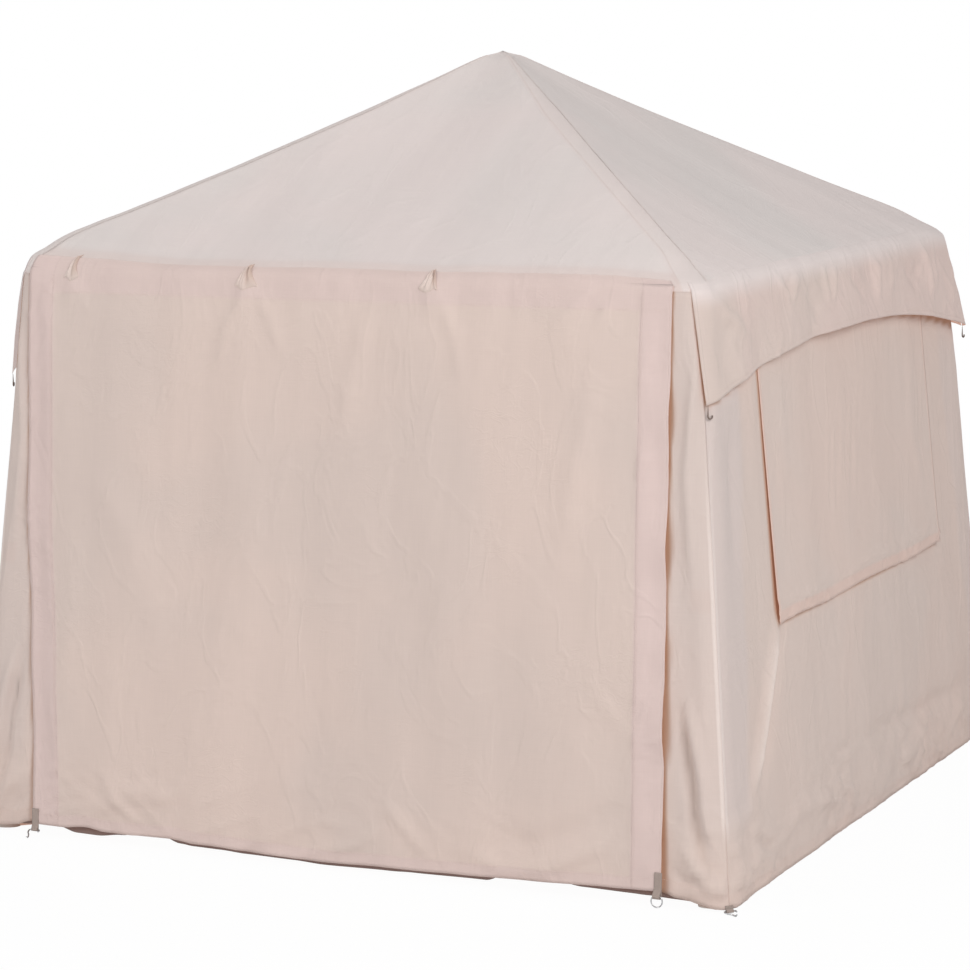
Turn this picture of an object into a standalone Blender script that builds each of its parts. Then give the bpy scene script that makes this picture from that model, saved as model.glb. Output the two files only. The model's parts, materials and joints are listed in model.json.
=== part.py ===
"""Square garden tent on an inflatable frame, as separate pieces at their real size.

Four air beams rise as legs in the corners, bend at the eave and run up the hips to a hub
under the peak, and an air ring under the eave holds them apart. The cloth shell hangs on
them: a pyramid roof, four leaning walls, a valance and a window flap on three sides, and
a curtain that swings up over the doorway. The front faces -Y. The origin is the middle of
the groundsheet's underside.
"""

import math

import bmesh
import bpy
from mathutils import Matrix, Vector

# Overall size of the cloth shell
BASE_SIDE = 2.70
WALL_TAPER = 0.15
EAVE_HEIGHT = 1.872
ROOF_RISE = 0.67
PEAK_FLAT = 0.012
HIP_DIP = 0.012
ROOF_SAG = 0.025
ROOF_LIP = 0.030
EAVE_ROUNDING = 0.010
CORNER_DROP = 0.014
HIP_RADIUS = 0.045
HEM_RISE = 0.020

# Cloth and clearances
CLOTH = 0.002
SEAM_GAP = 0.0003
HINGE_GAP = 0.0004

# Air beams
SLEEVE_RADIUS = 0.065
SLEEVE_WALL = 0.0015
BLADDER_WALL = 0.0012
BLADDER_GAP = 0.0006
BEAM_BEND_RADIUS = 0.22
BEAM_HIP_GAP = 0.008
BEAM_TIP_RADIUS = 0.036
BLADDER_END_INSET = 0.006
LEG_TIE_WALL = 0.0015
LEG_TIE_WIDTH = 0.060
LEG_TIE_HEIGHT = 0.93
LEG_GAP = 0.0016
RING_RADIUS = 0.048
RING_DROP = 0.19
RING_GAP = 0.0008
TUBE_RESOLUTION = 3
HUB_APOTHEM = 0.095
HUB_HEIGHT = 0.066

# Valves
VALVE_HEIGHT = 0.35
FLANGE_RADIUS = 0.022
FLANGE_THICKNESS = 0.003
BARREL_RADIUS = 0.012
BARREL_LENGTH = 0.016
BORE_RADIUS = 0.009
COLLAR_RADIUS = 0.014
COLLAR_HEIGHT = 0.006
CAP_RADIUS = 0.017
CAP_THICKNESS = 0.003
PLUG_RADIUS = 0.0083
PLUG_TAPER = 0.0006
PLUG_LENGTH = 0.005
CAP_HINGE_REACH = 0.002
TURN_STEPS = 12

# Doorway and windows
DOOR_SILL = 0.08
DOOR_DROP = 0.21
DOOR_LAP = 0.20
WINDOW_WIDTH = 1.44
WINDOW_LENGTH = 0.70
WINDOW_DROP = 0.29
MESH_WALL = 0.001
MESH_MARGIN = 0.020

# Front curtain
CURTAIN_INSET = 0.07
CURTAIN_BOTTOM = 0.044
CURTAIN_BAND = 0.10
CURTAIN_STAND = 0.018
CURTAIN_FOLD = 0.007
CURTAIN_HEADER = 0.16
TIE_PLACES = (-0.97, -0.34, 0.315)
TIE_WIDTH = 0.042
TIE_LENGTH = 0.085
TIE_FLARE = 0.20

# Window flaps
FLAP_LAP = 0.095
FLAP_TOP_LAP = 0.12
FLAP_BOTTOM_LAP = 0.10
FLAP_STAND = 0.018
FLAP_FOLD = 0.003

# Valances: depth below their top edge at the middle and at the ends
VALANCE_DEPTH = 0.23
VALANCE_END_DEPTH = 0.355
VALANCE_FOLD = 0.004
VALANCE_END_GAP = 0.002
VALANCE_CORNER_EASE = 0.0008
VALANCE_RIGHT_WRAP = math.radians(20.0)
VALANCE_LEFT_WRAP = math.radians(15.0)
VALANCE_LEFT_BACK = math.radians(21.0)
FLARE_RIGHT_FRONT = 0.012
FLARE_LEFT_FRONT = 0.009
FLARE_MIDDLE = 0.032
FLARE_LEFT_MIDDLE = 0.020
FLARE_AT_REAR = 0.046

# Webbing tabs, ring and hooks
TAB_WIDTH = 0.026
TAB_STRAP = 0.0025
TAB_LENGTH = 0.070
HOOK_LOOP_RADIUS = 0.003
RING_LOOP_RADIUS = 0.0075
LOOP_WALL = 0.002
TAB_GROUND_GAP = 0.003
RIGHT_TAB_RISE = 0.042
LEFT_TAB_RISE = 0.027
RIGHT_TAB_INSET = 0.014
LEFT_TAB_INSET = 0.041
HOOK_WIRE = 0.0025
HOOK_TILT = math.radians(3.0)
CURTAIN_HOOK_TILT = math.radians(20.0)
LOOP_RING_RADIUS = 0.018
RING_WIRE = 0.002
RING_SEAT = 0.0025
RING_LEAN = math.radians(4.0)
CORD_HOOK_WIRE = 0.002
CORD_HOOK_DROP = 0.033
CORD_HOOK_BEND = 0.007
CORD_HOOK_GAP = 0.0011

# Groundsheet
GROUNDSHEET = 0.002

EAVE_SIDE = BASE_SIDE - 2 * WALL_TAPER
HINGE_HEIGHT = EAVE_HEIGHT - EAVE_ROUNDING
CORNER_RADIUS = SLEEVE_RADIUS + LEG_TIE_WALL + LEG_GAP + CLOTH
HEM_HEIGHT = GROUNDSHEET + SEAM_GAP + HEM_RISE
RING_HEIGHT = EAVE_HEIGHT - RING_DROP
CURTAIN_WIDTH = EAVE_SIDE - 2 * CURTAIN_INSET
DOOR_WIDTH = CURTAIN_WIDTH - 2 * DOOR_LAP
DOOR_HEIGHT = EAVE_HEIGHT - DOOR_DROP
WINDOW_TOP = EAVE_HEIGHT - WINDOW_DROP
WINDOW_BOTTOM = WINDOW_TOP - WINDOW_LENGTH
FLAP_WIDTH = WINDOW_WIDTH + 2 * FLAP_LAP
FLAP_TOP = WINDOW_TOP + FLAP_TOP_LAP
FLAP_BOTTOM = WINDOW_BOTTOM - FLAP_BOTTOM_LAP
ROOF_PITCH = math.atan2(ROOF_RISE, EAVE_SIDE / 2)
WALL_LEAN = math.atan2(WALL_TAPER, EAVE_HEIGHT)
CORNER_LEAN = math.atan2(math.sqrt(2) * WALL_TAPER, EAVE_HEIGHT)
SIDES = {"front": 0.0, "right": 90.0, "rear": 180.0, "left": 270.0}
WINDOW_SIDES = ("right", "rear", "left")
CORNERS = {"front_right": 0.0, "rear_right": 90.0, "rear_left": 180.0, "front_left": 270.0}
# Valance flares at the low end, in the middle and at the high end of each side's own run
VALANCE_FLARES = {
    "right": (FLARE_RIGHT_FRONT, FLARE_MIDDLE, FLARE_AT_REAR),
    "rear": (FLARE_AT_REAR, FLARE_MIDDLE, FLARE_AT_REAR),
    "left": (FLARE_AT_REAR, FLARE_LEFT_MIDDLE, FLARE_LEFT_FRONT),
}
FINISHES = {
    "canvas": ((0.69, 0.56, 0.50), 0.85, 0.0),
    "roof_cloth": ((0.72, 0.62, 0.59), 0.80, 0.0),
    "mesh": ((0.10, 0.09, 0.09), 0.90, 0.0),
    "groundsheet": ((0.035, 0.028, 0.028), 0.75, 0.0),
    "sleeve": ((0.60, 0.58, 0.57), 0.80, 0.0),
    "bladder": ((0.75, 0.77, 0.78), 0.25, 0.0),
    "webbing": ((0.34, 0.28, 0.25), 0.85, 0.0),
    "plastic": ((0.05, 0.05, 0.055), 0.45, 0.0),
    "steel": ((0.62, 0.63, 0.64), 0.30, 1.0),
}


def clear_scene():
    for obj in list(bpy.data.objects):
        bpy.data.objects.remove(obj, do_unlink=True)


def new_collection(name):
    collection = bpy.data.collections.new(name)
    bpy.context.scene.collection.children.link(collection)
    return collection


def new_material(name, finish):
    colour, roughness, metallic = FINISHES[finish]
    material = bpy.data.materials.new(name)
    material.use_nodes = True
    shader = material.node_tree.nodes["Principled BSDF"]
    shader.inputs["Base Color"].default_value = (*colour, 1.0)
    shader.inputs["Roughness"].default_value = roughness
    shader.inputs["Metallic"].default_value = metallic
    return material


def add_piece(name, mesh, finish, matrix=None):
    """Makes one sub-part from mesh data, with its own material."""
    piece = bpy.data.objects.new(name, mesh)
    parts.objects.link(piece)
    piece.matrix_world = matrix or Matrix.Identity(4)
    mesh.materials.clear()
    mesh.materials.append(new_material(name + "_finish", finish))
    return piece


def turned_by(degrees):
    return Matrix.Rotation(math.radians(degrees), 4, "Z")


def take_mesh(obj):
    """The evaluated mesh of a helper object, which is then removed."""
    bpy.context.view_layer.update()
    graph = bpy.context.evaluated_depsgraph_get()
    mesh = bpy.data.meshes.new_from_object(obj.evaluated_get(graph))
    mesh.transform(obj.matrix_world)
    bpy.data.objects.remove(obj, do_unlink=True)
    return mesh


def weld(mesh):
    bm = bmesh.new()
    bm.from_mesh(mesh)
    bmesh.ops.remove_doubles(bm, verts=bm.verts, dist=1e-6)
    bm.to_mesh(mesh)
    bm.free()
    return mesh


def smooth(mesh, degrees=40.0):
    mesh.shade_smooth()
    mesh.set_sharp_from_angle(angle=math.radians(degrees))
    return mesh


def ease(value):
    """0 below 0, 1 above 1, and a smooth step between."""
    value = min(max(value, 0.0), 1.0)
    return value * value * (3.0 - 2.0 * value)


def wall_offset(height):
    """Distance from the tent's axis to the outer face of a wall at a height."""
    return BASE_SIDE / 2 - WALL_TAPER * height / EAVE_HEIGHT


def wall_point(column, height, inset=0.0):
    """A point of the front wall. A column is a place along it, or (side, angle) on a corner."""
    face = wall_offset(height)
    if isinstance(column, tuple):
        side, angle = column
        centre = face - CORNER_RADIUS
        reach = CORNER_RADIUS - inset
        along = side * (centre + reach * math.sin(angle))
        return Vector((along, -(centre + reach * math.cos(angle)), height))
    return Vector((column, inset - face, height))


def sheet_mesh(name, columns, rows, place, open_cells=()):
    """A grid of points moved to place(column, row), rows running upwards, less its open cells."""
    wide = len(columns) - 1
    high = len(rows) - 1
    bm = bmesh.new()
    bmesh.ops.create_grid(bm, x_segments=wide, y_segments=high, size=1.0)

    def cell_of(point):
        return (point.x + 1.0) / 2.0 * wide, (point.y + 1.0) / 2.0 * high

    holes = []
    for face in bm.faces:
        across, up = cell_of(face.calc_center_median())
        if (int(across), int(up)) in open_cells:
            holes.append(face)
    for vert in bm.verts:
        across, up = cell_of(vert.co)
        vert.co = place(columns[round(across)], rows[round(up)])
    bmesh.ops.delete(bm, geom=holes, context="FACES")
    bmesh.ops.remove_doubles(bm, verts=bm.verts, dist=1e-6)
    mesh = bpy.data.meshes.new(name)
    bm.to_mesh(mesh)
    bm.free()
    return smooth(mesh)


def thicken(piece, thickness):
    """Gives a sheet its thickness on its inner side."""
    wall = piece.modifiers.new("thickness", "SOLIDIFY")
    wall.thickness = thickness
    wall.offset = -1.0
    return piece


def steps(low, high, count):
    return [low + (high - low) * index / count for index in range(count + 1)]


def tube_mesh(name, points, radii, closed=False, capped=True, resolution=TUBE_RESOLUTION):
    """A tube along points, with a radius at each, as a welded mesh."""
    widest = max(radii)
    curve = bpy.data.curves.new(name, "CURVE")
    curve.dimensions = "3D"
    curve.bevel_depth = widest
    curve.bevel_resolution = resolution
    curve.use_fill_caps = capped
    spline = curve.splines.new("POLY")
    spline.points.add(len(points) - 1)
    spline.use_cyclic_u = closed
    for target, point, radius in zip(spline.points, points, radii):
        target.co = (*point, 1.0)
        target.radius = radius / widest
    guide = bpy.data.objects.new(name, curve)
    parts.objects.link(guide)
    return smooth(weld(take_mesh(guide)), 50.0)


def turned_mesh(name, profile, closed):
    """A profile of (radius, height) points turned about Z, outer side first from the top down."""
    bm = bmesh.new()
    points = [bm.verts.new((radius, 0.0, height)) for radius, height in profile]
    for first, second in zip(points, points[1:]):
        bm.edges.new((first, second))
    if closed:
        bm.edges.new((points[-1], points[0]))
    mesh = bpy.data.meshes.new(name)
    bm.to_mesh(mesh)
    bm.free()
    blank = bpy.data.objects.new(name, mesh)
    parts.objects.link(blank)
    screw = blank.modifiers.new("turn", "SCREW")
    screw.steps = TURN_STEPS
    screw.render_steps = TURN_STEPS
    screw.use_merge_vertices = True
    screw.merge_threshold = 1e-5
    return smooth(take_mesh(blank))


def cut_from(piece, cutter):
    cut = piece.modifiers.new("port", "BOOLEAN")
    cut.operation = "DIFFERENCE"
    cut.object = cutter


def add_cutter(name, radius, low, high, matrix):
    """A round cutter along the matrix's Z axis, from low to high."""
    bm = bmesh.new()
    bmesh.ops.create_cone(
        bm,
        cap_ends=True,
        segments=TURN_STEPS,
        radius1=radius,
        radius2=radius,
        depth=high - low,
        matrix=Matrix.Translation((0.0, 0.0, (low + high) / 2)),
    )
    mesh = bpy.data.meshes.new(name)
    bm.to_mesh(mesh)
    bm.free()
    cutter = bpy.data.objects.new(name, mesh)
    cutters.objects.link(cutter)
    cutter.matrix_world = matrix
    cutter.hide_render = True
    cutter.display_type = "WIRE"
    return cutter


def frame_of(origin, x_axis, y_axis, z_axis):
    matrix = Matrix((x_axis, y_axis, z_axis)).transposed().to_4x4()
    matrix.translation = origin
    return matrix


# Walls and groundsheet


def corner_columns(side):
    """From the mitre to the flat, with a narrow first strip that keeps the mitre square."""
    mitre = math.pi / 4 - SEAM_GAP / CORNER_RADIUS
    return [(side, mitre), (side, mitre - 0.06), (side, math.pi / 8), (side, 0.0)]


def build_walls():
    """Four leaning walls, whose rounded corners meet on the diagonals."""
    top = EAVE_HEIGHT - ROOF_LIP - SEAM_GAP
    for side, degrees in SIDES.items():
        if side == "front":
            half, low, high = DOOR_WIDTH / 2, DOOR_SILL, DOOR_HEIGHT
        else:
            half, low, high = WINDOW_WIDTH / 2, WINDOW_BOTTOM, WINDOW_TOP
        columns = corner_columns(-1) + [-half, half]
        columns += reversed(corner_columns(1))
        rows = [HEM_HEIGHT, low, high, top]
        mesh = sheet_mesh(side + "_wall", columns, rows, wall_point, {(4, 1)})
        thicken(add_piece(side + "_wall", mesh, "canvas", turned_by(degrees)), CLOTH)


def build_window_meshes():
    """Insect mesh behind each window, lapped over the wall's inner face."""
    half = WINDOW_WIDTH / 2 + MESH_MARGIN
    rows = [WINDOW_BOTTOM - MESH_MARGIN, WINDOW_TOP + MESH_MARGIN]
    for side in WINDOW_SIDES:
        name = side + "_window_mesh"
        mesh = sheet_mesh(
            name, [-half, half], rows, lambda u, z: wall_point(u, z, CLOTH + SEAM_GAP)
        )
        piece = add_piece(name, mesh, "mesh", turned_by(SIDES[side]))
        thicken(piece, MESH_WALL)


def rounded_square(half, radius, count):
    """Points round a square with round corners, anticlockwise."""
    points = []
    for quarter in range(4):
        spin = Matrix.Rotation(quarter * math.pi / 2, 3, "Z")
        for angle in steps(0.0, math.pi / 2, count):
            reach = Vector((math.cos(angle), math.sin(angle), 0.0)) * radius
            points.append(spin @ (reach + Vector((half - radius, half - radius, 0.0))))
    return points


def outline_mesh(name, outlines, thickness):
    """A flat plate in the XY plane with these outlines, the first outside and the rest as holes."""
    curve = bpy.data.curves.new(name, "CURVE")
    curve.dimensions = "2D"
    curve.fill_mode = "BOTH"
    curve.extrude = thickness / 2
    for outline in outlines:
        spline = curve.splines.new("POLY")
        spline.points.add(len(outline) - 1)
        spline.use_cyclic_u = True
        for target, point in zip(spline.points, outline):
            target.co = (point[0], point[1], 0.0, 1.0)
    guide = bpy.data.objects.new(name, curve)
    parts.objects.link(guide)
    return weld(take_mesh(guide))


def build_groundsheet():
    corner = rounded_square(wall_offset(0.0), CORNER_RADIUS, 3)
    mesh = outline_mesh("groundsheet", [corner], GROUNDSHEET)
    place = Matrix.Translation((0.0, 0.0, GROUNDSHEET / 2))
    add_piece("groundsheet", mesh, "groundsheet", place)


# Roof


def hip_height(share):
    """Height of the sharp hip line, where share runs from 0 at the peak to 1 at the eave."""
    return EAVE_HEIGHT + ROOF_RISE * (1.0 - share) - 4.0 * HIP_DIP * share * (1.0 - share)


def roof_corner_radius(share):
    """The hips are tight over the beams, and open out to the walls' corners at the eave."""
    open_out = ease((share - 0.85) / 0.15)
    hip = HIP_RADIUS * min(1.0, share / 0.3)
    return hip + (CORNER_RADIUS - HIP_RADIUS) * open_out


def roof_rows():
    """Each row as (half width, height, corner radius, share), from the lip up to the peak."""
    low = EAVE_HEIGHT - ROOF_LIP
    bend = EAVE_HEIGHT - EAVE_ROUNDING
    rows = [(wall_offset(low), low, CORNER_RADIUS, None)]
    rows.append((wall_offset(bend), bend, CORNER_RADIUS, None))
    crest = EAVE_HEIGHT - EAVE_ROUNDING * 0.22
    rows.append((wall_offset(crest) - EAVE_ROUNDING * 0.25, crest, CORNER_RADIUS, None))
    for share in (0.985, 0.93, 0.84, 0.70, 0.55, 0.40, 0.25, 0.12, 0.04, 0.0):
        half = share * EAVE_SIDE / 2
        rows.append((half, hip_height(share), roof_corner_radius(share), share))
    return rows


def roof_point(column, row):
    """column is (quarter, kind, value): a place along a side, or an angle on a corner."""
    quarter, kind, value = column
    half, height, radius, share = row
    flat = half - radius
    if kind == "side":
        point = Vector((value * flat, -half, height))
        edge = abs(value)
    else:
        arc = Vector((math.sin(value), -math.cos(value), 0.0)) * radius
        point = arc + Vector((flat, -flat, height))
        edge = 1.0
    if share is not None:
        point.z -= ROOF_SAG * math.sin(math.pi * share) * (1.0 - edge * edge) ** 2
        point.z -= CORNER_DROP * ease((share - 0.88) / 0.10) * edge**12
        point.z -= PEAK_FLAT * ease(1.0 - share / 0.05)
    return turned_by(90.0 * quarter) @ point


def build_roof():
    columns = []
    for quarter in range(4):
        for value in steps(-1.0, 1.0, 6):
            columns.append((quarter, "side", value))
        columns.append((quarter, "corner", math.pi / 4))
    columns.append(columns[0])
    mesh = sheet_mesh("roof_canopy", columns, roof_rows(), roof_point)
    thicken(add_piece("roof_canopy", mesh, "roof_cloth"), CLOTH)


# Air frame


def diagonal_point(reach, height):
    """A point over the front right diagonal, reach from the tent's axis."""
    return Vector((reach / math.sqrt(2), -reach / math.sqrt(2), height))


def leg_reach(height):
    return math.sqrt(2) * (wall_offset(height) - CORNER_RADIUS)


def beam_drop():
    """Depth of a beam's centre line under the sharp hip line."""
    return (SLEEVE_RADIUS + CLOTH + BEAM_HIP_GAP) / math.cos(ROOF_PITCH)


def hip_beam_point(share):
    """(reach, height) of a beam's centre line under the hip."""
    return Vector((math.sqrt(2) * share * EAVE_SIDE / 2, hip_height(share) - beam_drop()))


def crossing(first, second, third, fourth):
    """Where the line through the first two points meets the line through the other two."""
    run = second - first
    other = fourth - third
    gap = third - first
    scale = (gap.x * other.y - gap.y * other.x) / (run.x * other.y - run.y * other.x)
    return first + run * scale


def fillet(start, corner, end, radius, count):
    """Points of the arc of a radius that rounds the corner between two runs."""
    before = (start - corner).normalized()
    after = (end - corner).normalized()
    half = before.angle(after) / 2
    centre = corner + (before + after).normalized() * (radius / math.sin(half))
    first = corner + before * (radius / math.tan(half)) - centre
    last = corner + after * (radius / math.tan(half)) - centre
    turn = first.angle_signed(last)
    points = []
    for angle in steps(0.0, -turn, count):
        spin = Matrix.Rotation(angle, 2)
        points.append(centre + spin @ first)
    return points


def beam_path():
    """Centre line of the front right beam from its foot to the hub, and its radii."""
    foot_height = GROUNDSHEET + SEAM_GAP + SLEEVE_RADIUS * math.sin(CORNER_LEAN)
    foot = Vector((leg_reach(foot_height), foot_height))
    upper = Vector((leg_reach(EAVE_HEIGHT), EAVE_HEIGHT))
    corner = crossing(foot, upper, hip_beam_point(1.0), hip_beam_point(0.8))
    line = [foot] + fillet(foot, corner, hip_beam_point(0.8), BEAM_BEND_RADIUS, 6)
    radii = [SLEEVE_RADIUS] * len(line)
    tip_share = (HUB_APOTHEM + SEAM_GAP) / (math.sqrt(2) * EAVE_SIDE / 2)
    for share in (0.8, 0.6, 0.4, 0.24):
        line.append(hip_beam_point(share))
        radii.append(SLEEVE_RADIUS)
    line.append(hip_beam_point(tip_share))
    radii.append(BEAM_TIP_RADIUS)
    return [diagonal_point(*point) for point in line], radii


def shortened(points, inset):
    """The same run, drawn in by inset at both ends."""
    first = points[0] + (points[1] - points[0]).normalized() * inset
    last = points[-1] + (points[-2] - points[-1]).normalized() * inset
    return [first] + points[1:-1] + [last]


def leg_frame(height):
    """Frame on the front right leg's centre line: Y up the leg, Z towards the room."""
    up = diagonal_point(-math.sin(CORNER_LEAN), math.cos(CORNER_LEAN))
    inward = diagonal_point(-math.cos(CORNER_LEAN), -math.sin(CORNER_LEAN))
    return frame_of(diagonal_point(leg_reach(height), height), up.cross(inward), up, inward)


def eave_ring():
    """Half width and corner radius of the air ring, which just clears the walls and legs."""
    half = wall_offset(RING_HEIGHT) - CLOTH - RING_GAP - RING_RADIUS
    inner = leg_reach(RING_HEIGHT) - SLEEVE_RADIUS - RING_RADIUS - RING_GAP
    return half, (math.sqrt(2) * half - inner) / (math.sqrt(2) - 1.0)


def ring_frame():
    """Frame on the air ring's centre line at the middle of the rear side: Z to the room."""
    half, _ = eave_ring()
    axes = Vector((1.0, 0.0, 0.0)), Vector((0.0, 0.0, 1.0)), Vector((0.0, -1.0, 0.0))
    return frame_of(Vector((0.0, half, RING_HEIGHT)), *axes)


def add_air_tube(name, sleeve_mesh, bladder_mesh, port_frame, spin, tube_radius):
    """A sleeve with its bladder inside, both open at the valve's port."""
    sleeve_name, bladder_name = name
    sleeve = thicken(add_piece(sleeve_name, sleeve_mesh, "sleeve", spin), SLEEVE_WALL)
    bladder = thicken(add_piece(bladder_name, bladder_mesh, "bladder", spin), BLADDER_WALL)
    cutter = add_cutter(
        sleeve_name + "_port",
        BARREL_RADIUS + SEAM_GAP,
        tube_radius * 0.5,
        tube_radius * 1.5,
        spin @ port_frame,
    )
    cut_from(sleeve, cutter)
    cut_from(bladder, cutter)


def valve_meshes():
    """The valve body and its cap, with Z along the bore and 0 under the flange."""
    rim = FLANGE_THICKNESS + COLLAR_HEIGHT
    body = [
        (COLLAR_RADIUS, rim),
        (COLLAR_RADIUS, FLANGE_THICKNESS),
        (FLANGE_RADIUS, FLANGE_THICKNESS),
        (FLANGE_RADIUS, 0.0),
        (BARREL_RADIUS, 0.0),
        (BARREL_RADIUS, -BARREL_LENGTH),
        (BORE_RADIUS, -BARREL_LENGTH),
        (BORE_RADIUS, rim),
    ]
    seat = rim + SEAM_GAP
    cap = [
        (0.0, seat + CAP_THICKNESS),
        (CAP_RADIUS, seat + CAP_THICKNESS),
        (CAP_RADIUS, seat),
        (PLUG_RADIUS, seat),
        (PLUG_RADIUS - PLUG_TAPER, seat - PLUG_LENGTH),
        (0.0, seat - PLUG_LENGTH),
    ]
    pivot = cap_pivot()
    cap_mesh = turned_mesh("valve_cap", cap, False)
    cap_mesh.transform(Matrix.Translation(-pivot))
    return turned_mesh("valve", body, True), cap_mesh


def cap_pivot():
    """The cap's hinge, just above its rim, in the valve's own frame."""
    seat = FLANGE_THICKNESS + COLLAR_HEIGHT + SEAM_GAP
    return Vector((0.0, CAP_RADIUS + CAP_HINGE_REACH, seat + CAP_THICKNESS / 2))


def add_valve(suffix, meshes, port_frame, tube_radius):
    seat = port_frame @ Matrix.Translation((0.0, 0.0, tube_radius + SEAM_GAP))
    add_piece("valve_" + suffix, meshes[0].copy(), "plastic", seat)
    hinge = seat @ Matrix.Translation(cap_pivot())
    add_piece("valve_cap_" + suffix, meshes[1].copy(), "plastic", hinge)


def build_beams():
    """Sleeve, bladder, wall tie and valve of each corner beam."""
    points, radii = beam_path()
    inset = SLEEVE_WALL + BLADDER_GAP
    sleeve = tube_mesh("beam_sleeve", points, radii, capped=False)
    bladder = tube_mesh(
        "beam_bladder", shortened(points, BLADDER_END_INSET), [radius - inset for radius in radii]
    )
    tie_frame = leg_frame(LEG_TIE_HEIGHT)
    half = tie_frame.to_3x3() @ Vector((0.0, LEG_TIE_WIDTH / 2, 0.0))
    middle = tie_frame.translation
    tie_radius = SLEEVE_RADIUS + SEAM_GAP + LEG_TIE_WALL
    tie = tube_mesh("leg_tie", [middle - half, middle + half], [tie_radius] * 2, capped=False)
    valves = valve_meshes()
    port = leg_frame(VALVE_HEIGHT)
    for corner, degrees in CORNERS.items():
        spin = turned_by(degrees)
        names = "beam_sleeve_" + corner, "beam_bladder_" + corner
        add_air_tube(names, sleeve.copy(), bladder.copy(), port, spin, SLEEVE_RADIUS)
        thicken(add_piece("leg_tie_" + corner, tie.copy(), "webbing", spin), LEG_TIE_WALL)
        add_valve(corner, valves, spin @ port, SLEEVE_RADIUS)
    half_width, corner_radius = eave_ring()
    lift = Vector((0.0, 0.0, RING_HEIGHT))
    ring = [point + lift for point in rounded_square(half_width, corner_radius, 5)]
    still = Matrix.Identity(4)
    outer = tube_mesh("eave_sleeve", ring, [RING_RADIUS] * len(ring), closed=True)
    inner = tube_mesh("eave_bladder", ring, [RING_RADIUS - inset] * len(ring), closed=True)
    names = "eave_sleeve", "eave_bladder"
    add_air_tube(names, outer, inner, ring_frame(), still, RING_RADIUS)
    add_valve("eave", valves, ring_frame(), RING_RADIUS)


def build_hub():
    """Eight-sided hub under the peak, whose leaning faces take the four beam tips."""
    tip_share = HUB_APOTHEM / (math.sqrt(2) * EAVE_SIDE / 2)
    centre = hip_beam_point(tip_share)
    ahead = hip_beam_point(0.24) - centre
    slope = -ahead.y / ahead.x
    rise = HUB_HEIGHT / 2
    to_corner = 1.0 / math.cos(math.pi / 8)
    bm = bmesh.new()
    bmesh.ops.create_cone(
        bm,
        cap_ends=True,
        segments=8,
        radius1=(HUB_APOTHEM - rise * slope) * to_corner,
        radius2=(HUB_APOTHEM + rise * slope) * to_corner,
        depth=HUB_HEIGHT,
        matrix=Matrix.Rotation(math.pi / 8, 4, "Z"),
    )
    mesh = bpy.data.meshes.new("apex_hub")
    bm.to_mesh(mesh)
    bm.free()
    add_piece("apex_hub", mesh, "plastic", Matrix.Translation((0.0, 0.0, centre.y)))


# Hanging cloth


def hinge_place(height):
    """A hanging sheet's hinge: the middle of its top edge, just clear of the wall's face."""
    out = wall_offset(height) + HINGE_GAP + CLOTH / 2
    return Matrix.Translation((0.0, -out, height))


def hanging_sheet(name, columns, rows, place, hinge_height, degrees):
    """A sheet whose points are given in the front wall's frame and whose origin is its hinge."""
    hinge = hinge_place(hinge_height)
    mesh = sheet_mesh(name, columns, rows, place)
    mesh.transform(hinge.inverted())
    return thicken(add_piece(name, mesh, "canvas", turned_by(degrees) @ hinge), CLOTH)


def curtain_height(share):
    """Height at a share of the drop, from 0 at the top edge to 1 at the hem."""
    return HINGE_HEIGHT + (CURTAIN_BOTTOM - HINGE_HEIGHT) * share


def curtain_out(along, share):
    """How far the curtain's outer face stands off the wall's plane."""
    header = CURTAIN_HEADER / (HINGE_HEIGHT - CURTAIN_BOTTOM)
    stand = CURTAIN_STAND * ease(share / header)
    inside = CURTAIN_WIDTH / 2 - CURTAIN_BAND
    fade = ease((inside - abs(along)) / CURTAIN_BAND)
    waves = 0.55 * math.sin(8.1 * along + 0.6) + 0.45 * math.sin(14.3 * along + 2.1 * share)
    return HINGE_GAP + CLOTH + stand + CURTAIN_FOLD * waves * fade * ease(share * 1.2)


def build_curtain():
    """Front curtain with side bands and soft upright folds, and the ties sewn to its top."""
    inside = CURTAIN_WIDTH / 2 - CURTAIN_BAND
    columns = [-CURTAIN_WIDTH / 2] + steps(-inside, inside, 26) + [CURTAIN_WIDTH / 2]
    rows = [1.0, 0.85, 0.7, 0.55, 0.4, 0.25, 0.12, 0.05, 0.0]

    def place(along, share):
        height = curtain_height(share)
        return Vector((along, -wall_offset(height) - curtain_out(along, share), height))

    hanging_sheet("front_curtain", columns, rows, place, HINGE_HEIGHT, SIDES["front"])
    for number, middle in enumerate(TIE_PLACES, 1):
        sides = [middle - TIE_WIDTH / 2, middle + TIE_WIDTH / 2]

        def place_tie(along, drop):
            height = HINGE_HEIGHT - drop
            out = wall_offset(height) + 2 * (HINGE_GAP + CLOTH) + TIE_FLARE * drop
            return Vector((along, -out, height))

        hanging_sheet(
            f"roll_tie_{number}", sides, [TIE_LENGTH, 0.0], place_tie, HINGE_HEIGHT, SIDES["front"]
        )


def build_flaps():
    """Window flaps, hinged under the valances and standing a little off the wall at the hem."""
    columns = steps(-1.0, 1.0, 10)
    rows = [1.0, 0.85, 0.65, 0.45, 0.25, 0.1, 0.0]

    def place(across, share):
        height = FLAP_TOP + (FLAP_BOTTOM - FLAP_TOP) * share
        edge = ease((abs(across) - 0.8) / 0.2) * 0.35
        waves = FLAP_FOLD * math.sin(9.0 * across + 0.7) * ease(share * 1.5)
        out = HINGE_GAP + CLOTH + FLAP_STAND * share**1.5 * (1.0 + edge) + waves * share
        return Vector((across * FLAP_WIDTH / 2, -wall_offset(height) - out, height))

    for side in WINDOW_SIDES:
        hanging_sheet(side + "_window_flap", columns, rows, place, FLAP_TOP, SIDES[side])


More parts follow.
